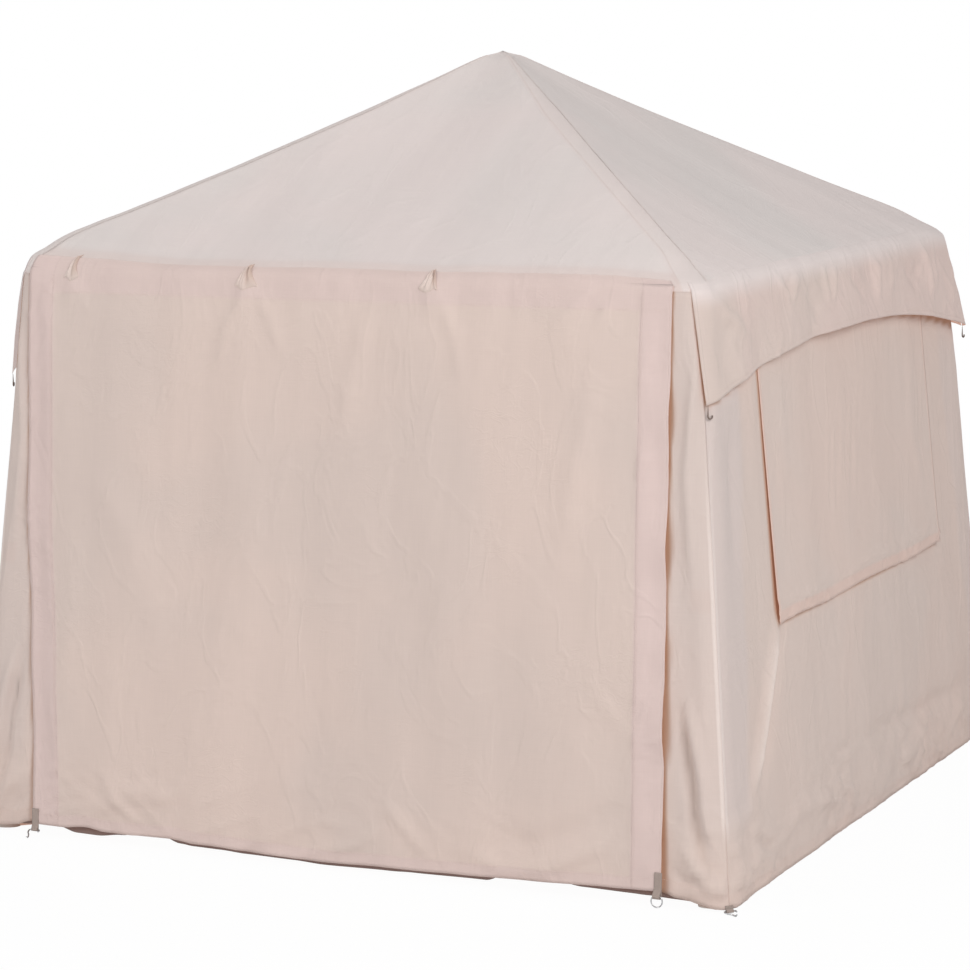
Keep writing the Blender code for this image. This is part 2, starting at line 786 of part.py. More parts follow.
def valance_columns():
    """Places along the flat as a share of it, and (side, share of the turn) on the corners."""
    turns = (0.2, 0.4, 0.6, 0.8, 1.0)
    low = [(-1, turn) for turn in reversed(turns)]
    high = [(1, turn) for turn in turns]
    return low + steps(-1.0, 1.0, 14) + high


def valance_point(side, column, share, inset=0.0):
    """A point of a valance's outer face, where share runs from 0 at its top edge to 1."""
    low, middle, high = VALANCE_FLARES[side]
    if isinstance(column, tuple):
        hand, turn = column
        across = hand * (1.0 - CORNER_RADIUS / (EAVE_SIDE / 2) * (1.0 - turn))
    else:
        across = column * (1.0 - CORNER_RADIUS / (EAVE_SIDE / 2))
    end = low if across < 0 else high
    depth = VALANCE_DEPTH + (VALANCE_END_DEPTH - VALANCE_DEPTH) * abs(across) ** 2.3
    height = HINGE_HEIGHT - depth * share
    flare = (middle + (end - middle) * across**2) * share
    waves = VALANCE_FOLD * math.sin(11.0 * across + 1.3) * (1.0 - across**4) * share
    out = HINGE_GAP + CLOTH + flare + waves - inset
    centre = wall_offset(height) - CORNER_RADIUS
    if not isinstance(column, tuple):
        return Vector((column * centre, -wall_offset(height) - out, height))
    last = math.pi / 4 - VALANCE_END_GAP / CORNER_RADIUS
    if (side, hand) == ("right", -1):
        last = math.pi / 4 + VALANCE_RIGHT_WRAP * (1.0 - share)
    if (side, hand) == ("left", 1):
        fall = VALANCE_LEFT_BACK + VALANCE_LEFT_WRAP
        last = math.pi / 4 - VALANCE_LEFT_BACK + fall * (1.0 - share) ** 2
    reach = CORNER_RADIUS + VALANCE_CORNER_EASE + out
    angle = turn * last
    along = hand * (centre + reach * math.sin(angle))
    return Vector((along, -(centre + reach * math.cos(angle)), height))


def build_valances():
    """Arched valances, which wrap round the corners of the eave at both ends."""
    rows = [1.0, 0.7, 0.4, 0.15, 0.0]
    for side in VALANCE_FLARES:

        def place(column, share, side=side):
            return valance_point(side, column, share)

        name = side + "_valance"
        hanging_sheet(name, valance_columns(), rows, place, HINGE_HEIGHT, SIDES[side])


# Webbing tabs, ring and hooks


def tab_mesh(bore):
    """A strap that ends in a round loop. X points out, Y up, and Z along the loop's bore."""
    loop = bore + LOOP_WALL
    strap_edge = TAB_STRAP - loop
    outer = [Vector((-loop, TAB_LENGTH))]
    for angle in steps(-math.pi, math.acos(strap_edge / loop), 14):
        outer.append(Vector((math.cos(angle), math.sin(angle))) * loop)
    outer.append(Vector((strap_edge, TAB_LENGTH)))
    hole = []
    for angle in steps(0.0, 2 * math.pi, 12)[:-1]:
        hole.append(Vector((math.cos(angle), math.sin(angle))) * bore)
    return outline_mesh("web_tab", [outer, hole], TAB_WIDTH)


def hook_mesh():
    """A bent wire through a loop along Z, which lies outwards along X and curls up at its tip."""
    side = TAB_WIDTH / 2 + 2 * HOOK_WIRE
    path = [
        (0.010, 0.0, -side),
        (0.002, 0.0, -side),
        (0.0, 0.0, -side + 0.003),
        (0.0, 0.0, side - 0.003),
        (0.003, 0.0, side),
        (0.015, 0.0, side - 0.001),
        (0.031, 0.0, 0.006),
        (0.045, 0.0, 0.001),
        (0.052, 0.006, 0.0),
    ]
    return tube_mesh("ground_hook", path, [HOOK_WIRE] * len(path), resolution=2)


def cord_hook_mesh():
    """A hook on a short elastic: straight down from its pointed top, then a round bend."""
    # the top is slim enough to swing under a hem that slopes down beside it
    path = [Vector((0.0, 0.0, 0.0)), Vector((0.0, 0.0, -0.003))]
    path.append(Vector((0.0, 0.0, -CORD_HOOK_DROP * 0.55)))
    radii = [CORD_HOOK_WIRE * 0.2, CORD_HOOK_WIRE * 0.45, CORD_HOOK_WIRE * 0.8]
    for angle in steps(math.pi, 2.15 * math.pi, 6):
        bend = Vector((math.cos(angle) + 1.0, 0.0, math.sin(angle))) * CORD_HOOK_BEND
        path.append(bend - Vector((0.0, 0.0, CORD_HOOK_DROP)))
        radii.append(CORD_HOOK_WIRE * 1.25)
    return tube_mesh("cord_hook", path, radii, resolution=2)


def ring_mesh():
    """A round wire ring in the XZ plane, whose top lies just over the origin."""
    bpy.ops.mesh.primitive_torus_add(
        major_segments=20,
        minor_segments=8,
        major_radius=LOOP_RING_RADIUS,
        minor_radius=RING_WIRE,
        rotation=(math.pi / 2, 0.0, 0.0),
        location=(0.0, 0.0, RING_SEAT - LOOP_RING_RADIUS),
    )
    ring = bpy.context.active_object
    return smooth(take_mesh(ring), 60.0)


def tab_frame(out, along, height, outward, lean):
    """Frame of a tab's loop: X out of the cloth, Y up along it, Z along the bore."""
    sideways = outward.cross(Vector((0.0, 0.0, 1.0)))
    tilt = Matrix.Rotation(lean, 3, sideways)
    x_axis = tilt @ outward
    y_axis = tilt @ Vector((0.0, 0.0, 1.0))
    origin = outward * out + sideways * along + Vector((0.0, 0.0, height))
    return frame_of(origin, x_axis, y_axis, x_axis.cross(y_axis))


def build_corner_tabs():
    """A webbing loop with a ground hook at the foot of each corner."""
    loop = HOOK_LOOP_RADIUS + LOOP_WALL
    height = TAB_GROUND_GAP + loop
    cloth_reach = leg_reach(height) + CORNER_RADIUS
    out = cloth_reach + (SEAM_GAP + loop) / math.cos(CORNER_LEAN)
    frame = tab_frame(out, 0.0, height, diagonal_point(1.0, 0.0), CORNER_LEAN)
    tab = tab_mesh(HOOK_LOOP_RADIUS)
    hook = hook_mesh()
    for corner, degrees in CORNERS.items():
        place = turned_by(degrees) @ frame
        add_piece("corner_tab_" + corner, tab.copy(), "webbing", place)
        hang = place @ Matrix.Rotation(-HOOK_TILT - CORNER_LEAN, 4, "Z")
        add_piece("corner_hook_" + corner, hook.copy(), "steel", hang)


def curtain_tab_frame(along, rise, bore):
    loop = bore + LOOP_WALL
    stand = curtain_out(CURTAIN_WIDTH / 2, 1.0)
    out = wall_offset(rise) + stand + (SEAM_GAP + loop) / math.cos(WALL_LEAN)
    return tab_frame(out, along, rise, Vector((0.0, -1.0, 0.0)), WALL_LEAN)


def build_curtain_tabs():
    """Webbing loops at the curtain's lower corners, with a ring and a ground hook."""
    edge = CURTAIN_WIDTH / 2
    right = curtain_tab_frame(RIGHT_TAB_INSET - edge, RIGHT_TAB_RISE, RING_LOOP_RADIUS)
    add_piece("curtain_tab_right", tab_mesh(RING_LOOP_RADIUS), "webbing", right)
    lean = Matrix.Rotation(-RING_LEAN, 4, "X")
    place = Matrix.Translation(right.translation) @ lean
    add_piece("curtain_ring", ring_mesh(), "steel", place)
    left = curtain_tab_frame(edge - LEFT_TAB_INSET, LEFT_TAB_RISE, HOOK_LOOP_RADIUS)
    add_piece("curtain_tab_left", tab_mesh(HOOK_LOOP_RADIUS), "webbing", left)
    hang = left @ Matrix.Rotation(-CURTAIN_HOOK_TILT - WALL_LEAN, 4, "Z")
    add_piece("curtain_hook", hook_mesh(), "steel", hang)


def build_valance_hooks():
    """An elastic hook under each end of the side valances."""
    hook = cord_hook_mesh()
    left_front = 45.0 - math.degrees(VALANCE_LEFT_BACK)
    ends = (
        ("right_front", "right", -1, 45.0),
        ("right_rear", "right", 1, 45.0),
        ("left_rear", "left", -1, 45.0),
        ("left_front", "left", 1, left_front),
    )
    for suffix, side, hand, facing in ends:
        tip = valance_point(side, (hand, 0.93), 1.0, CLOTH / 2)
        tip.z -= CORD_HOOK_GAP
        place = turned_by(SIDES[side]) @ Matrix.Translation(tip)
        place = place @ turned_by(-90.0 - (90.0 - facing) * hand)
        add_piece("valance_hook_" + suffix, hook.copy(), "plastic", place)


def build():
    build_groundsheet()
    build_walls()
    build_window_meshes()
    build_roof()
    build_beams()
    build_hub()
    build_curtain()
    build_flaps()
    build_valances()
    build_corner_tabs()
    build_curtain_tabs()
    build_valance_hooks()


clear_scene()
parts = new_collection("inflatable_tent")
cutters = new_collection("cutters")
build()
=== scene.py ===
"""Looks of a square inflatable garden tent, built round its packed frame.

The cloth is dense sheets over the frame's plain ones, with their bands, hems, folds and
creases. Stitching and air tubes follow paths through geometry nodes. All places are in metres
in the frame's own axes. The front faces -Y, and a side's sheets are worked out as if that
side were the front, and then turned.
"""

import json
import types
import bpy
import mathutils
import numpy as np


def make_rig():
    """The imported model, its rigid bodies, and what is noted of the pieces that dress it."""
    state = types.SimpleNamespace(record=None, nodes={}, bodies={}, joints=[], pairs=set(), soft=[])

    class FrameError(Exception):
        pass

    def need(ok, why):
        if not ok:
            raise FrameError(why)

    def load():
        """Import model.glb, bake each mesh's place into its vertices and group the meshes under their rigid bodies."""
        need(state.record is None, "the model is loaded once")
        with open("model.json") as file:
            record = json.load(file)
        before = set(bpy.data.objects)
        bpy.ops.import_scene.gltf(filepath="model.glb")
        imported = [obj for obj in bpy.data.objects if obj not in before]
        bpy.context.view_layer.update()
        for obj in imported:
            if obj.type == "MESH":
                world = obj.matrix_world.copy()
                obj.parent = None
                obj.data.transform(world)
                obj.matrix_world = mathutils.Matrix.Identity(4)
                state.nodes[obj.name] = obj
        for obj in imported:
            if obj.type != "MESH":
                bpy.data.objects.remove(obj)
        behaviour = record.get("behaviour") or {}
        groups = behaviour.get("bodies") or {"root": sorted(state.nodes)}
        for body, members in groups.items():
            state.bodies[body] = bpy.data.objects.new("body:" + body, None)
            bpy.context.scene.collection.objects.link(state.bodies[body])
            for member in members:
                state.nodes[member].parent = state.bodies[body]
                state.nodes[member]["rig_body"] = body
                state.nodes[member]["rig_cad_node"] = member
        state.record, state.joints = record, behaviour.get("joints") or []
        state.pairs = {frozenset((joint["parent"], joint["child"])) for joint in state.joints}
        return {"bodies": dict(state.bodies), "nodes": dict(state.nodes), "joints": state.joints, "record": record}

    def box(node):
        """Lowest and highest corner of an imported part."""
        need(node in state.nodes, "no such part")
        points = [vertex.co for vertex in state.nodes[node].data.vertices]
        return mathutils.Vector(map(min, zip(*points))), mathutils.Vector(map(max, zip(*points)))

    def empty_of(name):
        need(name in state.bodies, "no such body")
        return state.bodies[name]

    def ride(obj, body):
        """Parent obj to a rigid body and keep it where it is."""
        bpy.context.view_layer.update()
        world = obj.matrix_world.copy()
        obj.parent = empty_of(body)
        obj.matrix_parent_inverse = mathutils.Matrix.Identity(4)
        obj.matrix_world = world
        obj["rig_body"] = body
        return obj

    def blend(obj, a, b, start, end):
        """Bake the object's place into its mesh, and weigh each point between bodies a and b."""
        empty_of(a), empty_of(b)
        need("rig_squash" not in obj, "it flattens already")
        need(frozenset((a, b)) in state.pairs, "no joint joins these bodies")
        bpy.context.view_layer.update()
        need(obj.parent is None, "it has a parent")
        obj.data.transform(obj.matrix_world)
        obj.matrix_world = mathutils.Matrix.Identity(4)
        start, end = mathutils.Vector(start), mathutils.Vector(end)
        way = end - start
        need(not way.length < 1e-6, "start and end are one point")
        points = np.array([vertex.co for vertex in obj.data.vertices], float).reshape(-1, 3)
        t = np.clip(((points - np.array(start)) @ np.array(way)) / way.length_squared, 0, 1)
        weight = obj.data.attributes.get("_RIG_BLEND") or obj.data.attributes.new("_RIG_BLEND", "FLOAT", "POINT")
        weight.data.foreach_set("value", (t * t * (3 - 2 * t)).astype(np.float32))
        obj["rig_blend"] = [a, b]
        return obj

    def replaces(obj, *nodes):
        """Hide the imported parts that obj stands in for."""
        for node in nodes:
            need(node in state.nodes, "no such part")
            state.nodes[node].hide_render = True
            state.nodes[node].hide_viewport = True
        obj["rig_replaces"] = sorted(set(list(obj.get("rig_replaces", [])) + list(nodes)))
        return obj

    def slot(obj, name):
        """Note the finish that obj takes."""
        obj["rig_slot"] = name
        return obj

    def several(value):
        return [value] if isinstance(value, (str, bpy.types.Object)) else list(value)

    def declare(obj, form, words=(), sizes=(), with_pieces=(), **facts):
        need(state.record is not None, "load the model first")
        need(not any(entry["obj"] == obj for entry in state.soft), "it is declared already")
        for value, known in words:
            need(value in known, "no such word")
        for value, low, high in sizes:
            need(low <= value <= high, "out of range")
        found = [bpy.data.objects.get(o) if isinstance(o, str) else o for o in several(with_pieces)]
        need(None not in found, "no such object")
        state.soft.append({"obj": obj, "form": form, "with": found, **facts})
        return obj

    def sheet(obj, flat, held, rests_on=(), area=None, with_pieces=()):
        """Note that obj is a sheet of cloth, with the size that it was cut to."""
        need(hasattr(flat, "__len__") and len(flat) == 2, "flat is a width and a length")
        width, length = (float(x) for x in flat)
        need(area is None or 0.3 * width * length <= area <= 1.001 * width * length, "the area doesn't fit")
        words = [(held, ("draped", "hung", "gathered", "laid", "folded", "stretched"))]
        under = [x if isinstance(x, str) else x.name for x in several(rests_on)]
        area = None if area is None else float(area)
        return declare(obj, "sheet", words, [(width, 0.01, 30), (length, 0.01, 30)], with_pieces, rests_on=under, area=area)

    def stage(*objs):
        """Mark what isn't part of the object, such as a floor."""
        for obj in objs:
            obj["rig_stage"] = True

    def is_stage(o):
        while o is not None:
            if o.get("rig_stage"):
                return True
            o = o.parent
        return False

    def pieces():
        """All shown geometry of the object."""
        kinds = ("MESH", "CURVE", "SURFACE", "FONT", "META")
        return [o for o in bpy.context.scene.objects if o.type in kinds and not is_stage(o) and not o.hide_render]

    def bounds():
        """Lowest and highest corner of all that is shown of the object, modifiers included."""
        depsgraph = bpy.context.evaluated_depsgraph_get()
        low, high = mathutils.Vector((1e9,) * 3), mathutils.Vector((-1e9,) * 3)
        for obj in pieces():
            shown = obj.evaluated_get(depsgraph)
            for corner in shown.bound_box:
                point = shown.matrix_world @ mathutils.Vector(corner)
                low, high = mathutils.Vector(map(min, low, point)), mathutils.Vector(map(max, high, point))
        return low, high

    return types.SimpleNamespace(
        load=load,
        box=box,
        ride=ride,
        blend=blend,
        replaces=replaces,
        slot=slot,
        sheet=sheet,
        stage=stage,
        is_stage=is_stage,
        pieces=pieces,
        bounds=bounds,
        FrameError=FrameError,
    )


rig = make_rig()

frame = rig.load()

import json
import math

import bmesh
import bpy
import numpy as np
from mathutils import Matrix, Vector

bl_info = {
    "name": "Inflatable garden tent",
    "version": (1, 0, 0),
    "blender": (4, 5, 0),
    "location": "View3D > Sidebar > Tent",
    "description": "Builds the cloth, stitching, webbing, air frame and studio of a garden tent",
    "category": "Object",
}

CAD_LOW, CAD_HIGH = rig.bounds()


# Sizes that the frame holds
ROOF_LIP = 0.03
BASE_SIDE = round(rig.box("groundsheet")[1].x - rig.box("groundsheet")[0].x, 4)
EAVE_HEIGHT = round(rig.box("roof_canopy")[0].z + ROOF_LIP, 4)
HINGE_HEIGHT = round(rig.box("front_curtain")[1].z, 4)
FLAP_TOP = round(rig.box("right_window_flap")[1].z, 4)
FLAP_BOTTOM = round(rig.box("right_window_flap")[0].z, 4)
FLAP_HALF = round(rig.box("right_window_flap")[1].y, 4)
CURTAIN_HALF = round(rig.box("front_curtain")[1].x, 4)
MESH_LAP = 0.02
WINDOW_HALF = round(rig.box("right_window_mesh")[1].y, 4) - MESH_LAP
WINDOW_TOP = round(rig.box("right_window_mesh")[1].z, 4) - MESH_LAP
WINDOW_BOTTOM = round(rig.box("right_window_mesh")[0].z, 4) + MESH_LAP
HEM_HEIGHT = round(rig.box("right_wall")[0].z, 4)

# Sizes that the frame's outline follows
WALL_TAPER = 0.15
ROOF_RISE = 0.67
PEAK_FLAT = 0.012
HIP_DIP = 0.012
ROOF_SAG = 0.025
EAVE_ROLL = 0.024
ROLL_SHARE = 0.96
EAVE_LAP = 0.03
CORNER_DROP = 0.014
HIP_RADIUS = 0.045
CORNER_RADIUS = 0.0701
FRAME_CLOTH = 0.002
HINGE_GAP = 0.0004
DOOR_HALF = 0.93
DOOR_SILL = 0.08
DOOR_TOP = EAVE_HEIGHT - 0.21
SLEEVE_RADIUS = 0.065
RING_RADIUS = 0.048
BEAM_BEND_RADIUS = 0.22
BEAM_HIP_GAP = 0.008
BEAM_TIP_RADIUS = 0.036
HUB_APOTHEM = 0.095
LEG_TIE_HEIGHT = 0.93
LEG_TIE_WIDTH = 0.06
RING_HEIGHT = EAVE_HEIGHT - 0.19

# Cloth details
EAVE_HALF = BASE_SIDE / 2 - WALL_TAPER
BASE_FLAT = BASE_SIDE / 2 - CORNER_RADIUS
STRAIGHT_HALF = 1.0
BAND_WIDTH = 0.1
HEADER_DEPTH = 0.077
CURTAIN_HEM = 0.04
WALL_HEM = 0.045
FLAP_HEM = 0.042
FLAP_SIDE_HEM = 0.022
VALANCE_HEM = 0.02
OPENING_HEM = 0.03
SEAM_INSET = 0.003
CORNER_HEM_DIP = 0.007
CREASE_DEPTH = 2.5
THIN_CLOTH = 0.0008  # groundsheet and ties
THREAD_LIFT = 0.0004
CORNER_REACH = 0.98 * CORNER_RADIUS
ROOF_PITCH = math.atan2(ROOF_RISE, EAVE_HALF)
WALL_LEAN = math.atan2(WALL_TAPER, EAVE_HEIGHT)
CORNER_LEAN = math.atan2(math.sqrt(2) * WALL_TAPER, EAVE_HEIGHT)

SIDES = {"front": 0.0, "right": 90.0, "rear": 180.0, "left": 270.0}
CORNERS = {"front_right": 0.0, "rear_right": 90.0, "rear_left": 180.0, "front_left": 270.0}
VALANCE_FLARES = {
    "right": (0.012, 0.032, 0.046),
    "rear": (0.046, 0.032, 0.046),
    "left": (0.046, 0.02, 0.009),
}

# Lower edges, as (place along the front, height)
CURTAIN_HEM_LINE = (
    (-1.13, 0.046), (-1.02, 0.044), (-0.927, 0.053), (-0.835, 0.043), (-0.564, 0.048),
    (-0.475, 0.039), (-0.211, 0.03), (-0.039, 0.028), (0.215, 0.032), (0.464, 0.036),
    (0.707, 0.043), (0.946, 0.05), (1.13, 0.054),
)
GROUND_RIM_LINE = (
    (-1.3, 0.011), (-1.28, 0.017), (-1.22, 0.028), (-1.17, 0.034), (-1.02, 0.042),
    (-0.939, 0.025), (-0.86, 0.024), (-0.77, 0.034), (-0.7, 0.046), (-0.62, 0.046),
    (-0.55, 0.028), (-0.5, 0.024),
    (-0.4, 0.023), (-0.309, 0.019), (-0.135, 0.017), (-0.03, 0.013), (0.206, 0.017),
    (0.289, 0.02), (0.537, 0.023), (0.6, 0.042), (0.8, 0.042), (0.86, 0.036),
    (1.017, 0.034), (1.173, 0.029), (1.211, 0.028), (1.244, 0.019), (1.282, 0.011), (1.3, 0.01),
)
RIGHT_STRIP_HEM = (
    (1.1, 0.052), (1.13, 0.046), (1.173, 0.035), (1.211, 0.031),
    (1.244, 0.022), (1.282, 0.014), (1.314, 0.012),
)
LEFT_STRIP_HEM = (
    (1.1, 0.052), (1.13, 0.046), (1.17, 0.033), (1.22, 0.027), (1.28, 0.018), (1.33, 0.012),
)

# Where the curtain's edges hang, as (height, distance from the middle)
CURTAIN_RIGHT_LINE = ((0.05, 1.124), (0.6, 1.117), (1.22, 1.111), (1.862, 1.107))
CURTAIN_LEFT_LINE = ((0.05, 1.1), (0.12, 1.101), (0.6, 1.118), (1.1, 1.138), (1.862, 1.146))

# How far the curtain's edges stand off the wall, as (height, distance)
CURTAIN_RIGHT_EDGE = (
    (0.05, 0.0185), (0.1, 0.018), (0.19, 0.014), (0.3, 0.004), (0.4, 0.006), (0.54, 0.02),
    (0.69, 0.01), (0.77, 0.012), (0.86, 0.003), (0.96, 0.003), (1.08, 0.016), (1.22, 0.003),
    (1.36, 0.003), (1.46, 0.014), (1.6, 0.003), (1.862, 0.001),
)
CURTAIN_LEFT_EDGE = (
    (0.05, 0.0185), (0.14, 0.016), (0.35, 0.005), (0.62, 0.009), (0.85, 0.003), (1.1, 0.007),
    (1.4, 0.002), (1.6, 0.005), (1.862, 0.001),
)

# Creases on each panel as (path along the panel and up it, half width, height)
RIGHT_WALL_CREASES = (
    (((-0.79, 0.83), (-1.0, 0.5), (-1.15, 0.29)), 0.022, 0.009),
    (((-0.74, 0.8), (-0.93, 0.47), (-1.06, 0.28)), 0.03, -0.005),
    (((-0.138, 0.275), (0.72, 0.236), (1.1, 0.234)), 0.03, -0.006),
    (((-0.627, 0.25), (-0.131, 0.252)), 0.018, 0.0045),
    (((-0.562, 0.181), (-0.258, 0.068)), 0.018, 0.0045),
    (((-0.6, 0.235), (-0.18, 0.286)), 0.02, -0.005),
    (((0.2, 0.095), (0.6, 0.216)), 0.022, 0.0065),
    (((0.74, 0.1), (0.98, 0.202)), 0.02, 0.0065),
    (((-0.46, 0.215), (-0.22, 0.105)), 0.018, 0.005),
    (((-1.02, 0.1), (-0.75, 0.175), (-0.38, 0.16)), 0.028, 0.006),
    (((-1.2, 0.22), (-0.95, 0.09)), 0.02, -0.0045),
    (((-1.08, 1.45), (-1.1, 0.95)), 0.045, -0.005),
)
STRIP_CREASES = (
    (((1.16, 0.6), (1.205, 0.38), (1.222, 0.26), (1.25, 0.155), (1.3, 0.13)), 0.013, -0.008),
    (((1.185, 0.62), (1.24, 0.4), (1.258, 0.27), (1.29, 0.19)), 0.018, 0.008),
    (((1.19, 1.75), (1.165, 1.3), (1.2, 0.9)), 0.016, 0.0045),
    (((1.17, 0.2), (1.26, 0.085), (1.33, 0.075)), 0.014, 0.006),
    (((1.14, 0.12), (1.22, 0.06)), 0.012, -0.0045),
)
REAR_WALL_CREASES = (
    (((-1.15, 0.28), (-0.55, 0.235), (0.1, 0.26)), 0.028, -0.0055),
    (((0.35, 0.11), (0.8, 0.2), (1.15, 0.3)), 0.022, 0.006),
    (((-0.3, 0.16), (0.05, 0.09)), 0.018, 0.005),
    (((0.82, 0.8), (1.02, 0.48), (1.14, 0.25)), 0.022, 0.0075),
    (((-0.84, 0.79), (-1.06, 0.4)), 0.024, 0.006),
)
LEFT_WALL_CREASES = (
    (((-1.1, 0.24), (-0.4, 0.275), (0.3, 0.225)), 0.028, -0.0055),
    (((0.05, 0.1), (0.48, 0.2)), 0.02, 0.006),
    (((0.8, 0.83), (1.03, 0.47), (1.16, 0.27)), 0.022, 0.008),
    (((-0.8, 0.12), (-0.52, 0.21)), 0.018, 0.005),
    (((-0.83, 0.8), (-1.0, 0.52)), 0.022, 0.0055),
)
CURTAIN_CREASES = (
    (((0.74, 1.735), (0.874, 1.844)), 0.018, 0.005),
    (((0.88, 1.73), (0.965, 1.832)), 0.016, 0.0045),
    (((0.905, 1.62), (0.83, 1.3), (0.8, 1.02)), 0.05, 0.007),
    (((0.105, 1.76), (0.055, 1.58), (0.02, 1.4)), 0.035, 0.0055),
    (((0.46, 0.12), (0.6, 0.066), (0.757, 0.085), (0.92, 0.165), (1.03, 0.25)), 0.026, 0.0085),
    (((0.52, 0.185), (0.7, 0.15), (0.9, 0.235), (1.02, 0.33)), 0.035, -0.006),
    (((0.19, 0.235), (0.26, 0.165), (0.345, 0.085)), 0.02, 0.006),
    (((0.0, 0.06), (0.11, 0.1), (0.172, 0.15)), 0.018, 0.006),
    (((-0.86, 0.235), (-0.8, 0.15), (-0.715, 0.08)), 0.02, 0.007),
    (((-0.998, 0.045), (-0.88, 0.12), (-0.768, 0.186), (-0.52, 0.19)), 0.03, 0.006),
    (((0.9, 0.64), (1.02, 0.52), (1.1, 0.445)), 0.026, 0.005),
    (((-0.33, 1.82), (-0.395, 1.7), (-0.43, 1.56)), 0.02, 0.0055),
    (((-0.315, 1.82), (-0.245, 1.72), (-0.19, 1.6)), 0.02, 0.005),
    (((-0.955, 1.83), (-0.9, 1.72)), 0.018, 0.0045),
    (((0.33, 1.83), (0.4, 1.69), (0.425, 1.54)), 0.02, 0.005),
    (((-0.9, 1.25), (-0.7, 0.95), (-0.62, 0.6)), 0.06, 0.0055),
    (((-0.35, 1.4), (-0.3, 0.9), (-0.38, 0.45)), 0.07, 0.0055),
    (((0.3, 1.3), (0.36, 0.8), (0.33, 0.4)), 0.065, 0.005),
)
VALANCE_CREASES = (
    (((-1.169, 1.862), (-1.034, 1.762), (-0.892, 1.672)), 0.026, 0.0085),
    (((-0.6, 1.86), (-0.507, 1.75)), 0.022, 0.0095),
    (((-0.385, 1.845), (-0.5, 1.745)), 0.022, 0.0085),
    (((-0.5, 1.845), (-0.49, 1.8)), 0.035, -0.006),
    (((-0.161, 1.872), (-0.165, 1.72)), 0.018, 0.0085),
    (((-0.045, 1.85), (-0.141, 1.715)), 0.018, 0.0085),
    (((-0.33, 1.78), (-0.25, 1.68)), 0.045, -0.007),
    (((0.06, 1.8), (0.19, 1.7)), 0.03, -0.008),
    (((0.3, 1.87), (0.341, 1.79), (0.3, 1.68)), 0.022, 0.0085),
    (((0.5, 1.84), (0.43, 1.7)), 0.022, 0.0065),
    (((0.62, 1.775), (0.7, 1.72), (0.8, 1.755)), 0.04, -0.01),
    (((0.848, 1.854), (0.855, 1.64)), 0.022, 0.0095),
    (((1.0, 1.83), (0.93, 1.68)), 0.022, 0.0065),
)
FLAP_CREASES = (
    (((-0.78, 0.84), (-0.52, 0.83), (-0.3, 0.86)), 0.012, 0.0035),
    (((-0.2, 0.82), (0.1, 0.85), (0.42, 0.83)), 0.012, 0.0035),
    (((0.4, 0.86), (0.62, 0.83), (0.76, 0.88)), 0.014, 0.004),
    (((0.66, 1.52), (0.6, 1.2), (0.7, 0.95)), 0.04, 0.004),
    (((-0.62, 1.5), (-0.7, 1.1)), 0.05, 0.003),
)


# Shapes shared by the sheets


def ease(value):
    """0 below 0, 1 above 1, and a smooth step between."""
    value = np.clip(value, 0.0, 1.0)
    return value * value * (3.0 - 2.0 * value)


def near(value, mark, width):
    """1 at the mark, falling smoothly to 0 at width from it."""
    return ease(1.0 - np.abs((value - mark) / width))


def through(value, marks):
    """A smooth line through marks given as (place, level)."""
    places, levels = np.array(marks).T
    index = np.clip(np.searchsorted(places, value, side="right") - 1, 0, len(places) - 2)
    share = ease((value - places[index]) / (places[index + 1] - places[index]))
    return levels[index] * (1.0 - share) + levels[index + 1] * share


def stops(*marks, step):
    """Places through all the marks in order, no further apart than step."""
    made = [marks[0]]
    for low, high in zip(marks, marks[1:]):
        count = max(1, math.ceil(abs(high - low) / step - 1e-6))
        made += [low + (high - low) * index / count for index in range(1, count + 1)]
    return np.array(made)


def both_ways(right):
    """Places from 0 outwards, with their mirror images before them."""
    return np.concatenate([-right[:0:-1], right])


def by_hand(along, height, right, left):
    """A line through marks by height, which differs right and left of the middle."""
    return np.where(along > 0, through(height, right), through(height, left))


def wander(u, v, size_u, size_v, seed):
    """Smooth noise from -1 to 1, whose swells are about size_u by size_v."""
    lattice = np.random.default_rng(seed).uniform(-1.0, 1.0, (61, 61))
    x = np.asarray(u) / size_u + 17.3
    y = np.asarray(v) / size_v + 11.9
    column = np.floor(x).astype(int)
    row = np.floor(y).astype(int)
    across = ease(x - column)
    up = ease(y - row)

    def knot(right, above):
        return lattice[(column + right) % 61, (row + above) % 61]

    low = knot(0, 0) * (1.0 - across) + knot(1, 0) * across
    high = knot(0, 1) * (1.0 - across) + knot(1, 1) * across
    return low * (1.0 - up) + high * up


def crumple(u, v, length, width, turn, seed):
    """Sharp-crested wrinkles from 0 to 1, which run at an angle turned from the u axis."""
    along = u * math.cos(turn) + v * math.sin(turn)
    across = v * math.cos(turn) - u * math.sin(turn)
    across = across + 0.5 * width * wander(along, across, length, width * 3, seed + 5)
    ridge = 1.0 - np.abs(wander(along, across, length, width, seed))
    patch = ease(wander(u, v, length * 1.7, length * 1.3, seed + 9) + 0.5)
    return ridge**4 * patch


def crumples(u, v, rows):
    """Sum of wrinkles given as (height, length, width, turn, seed)."""
    return sum(height * crumple(u, v, *row) for height, *row in rows)


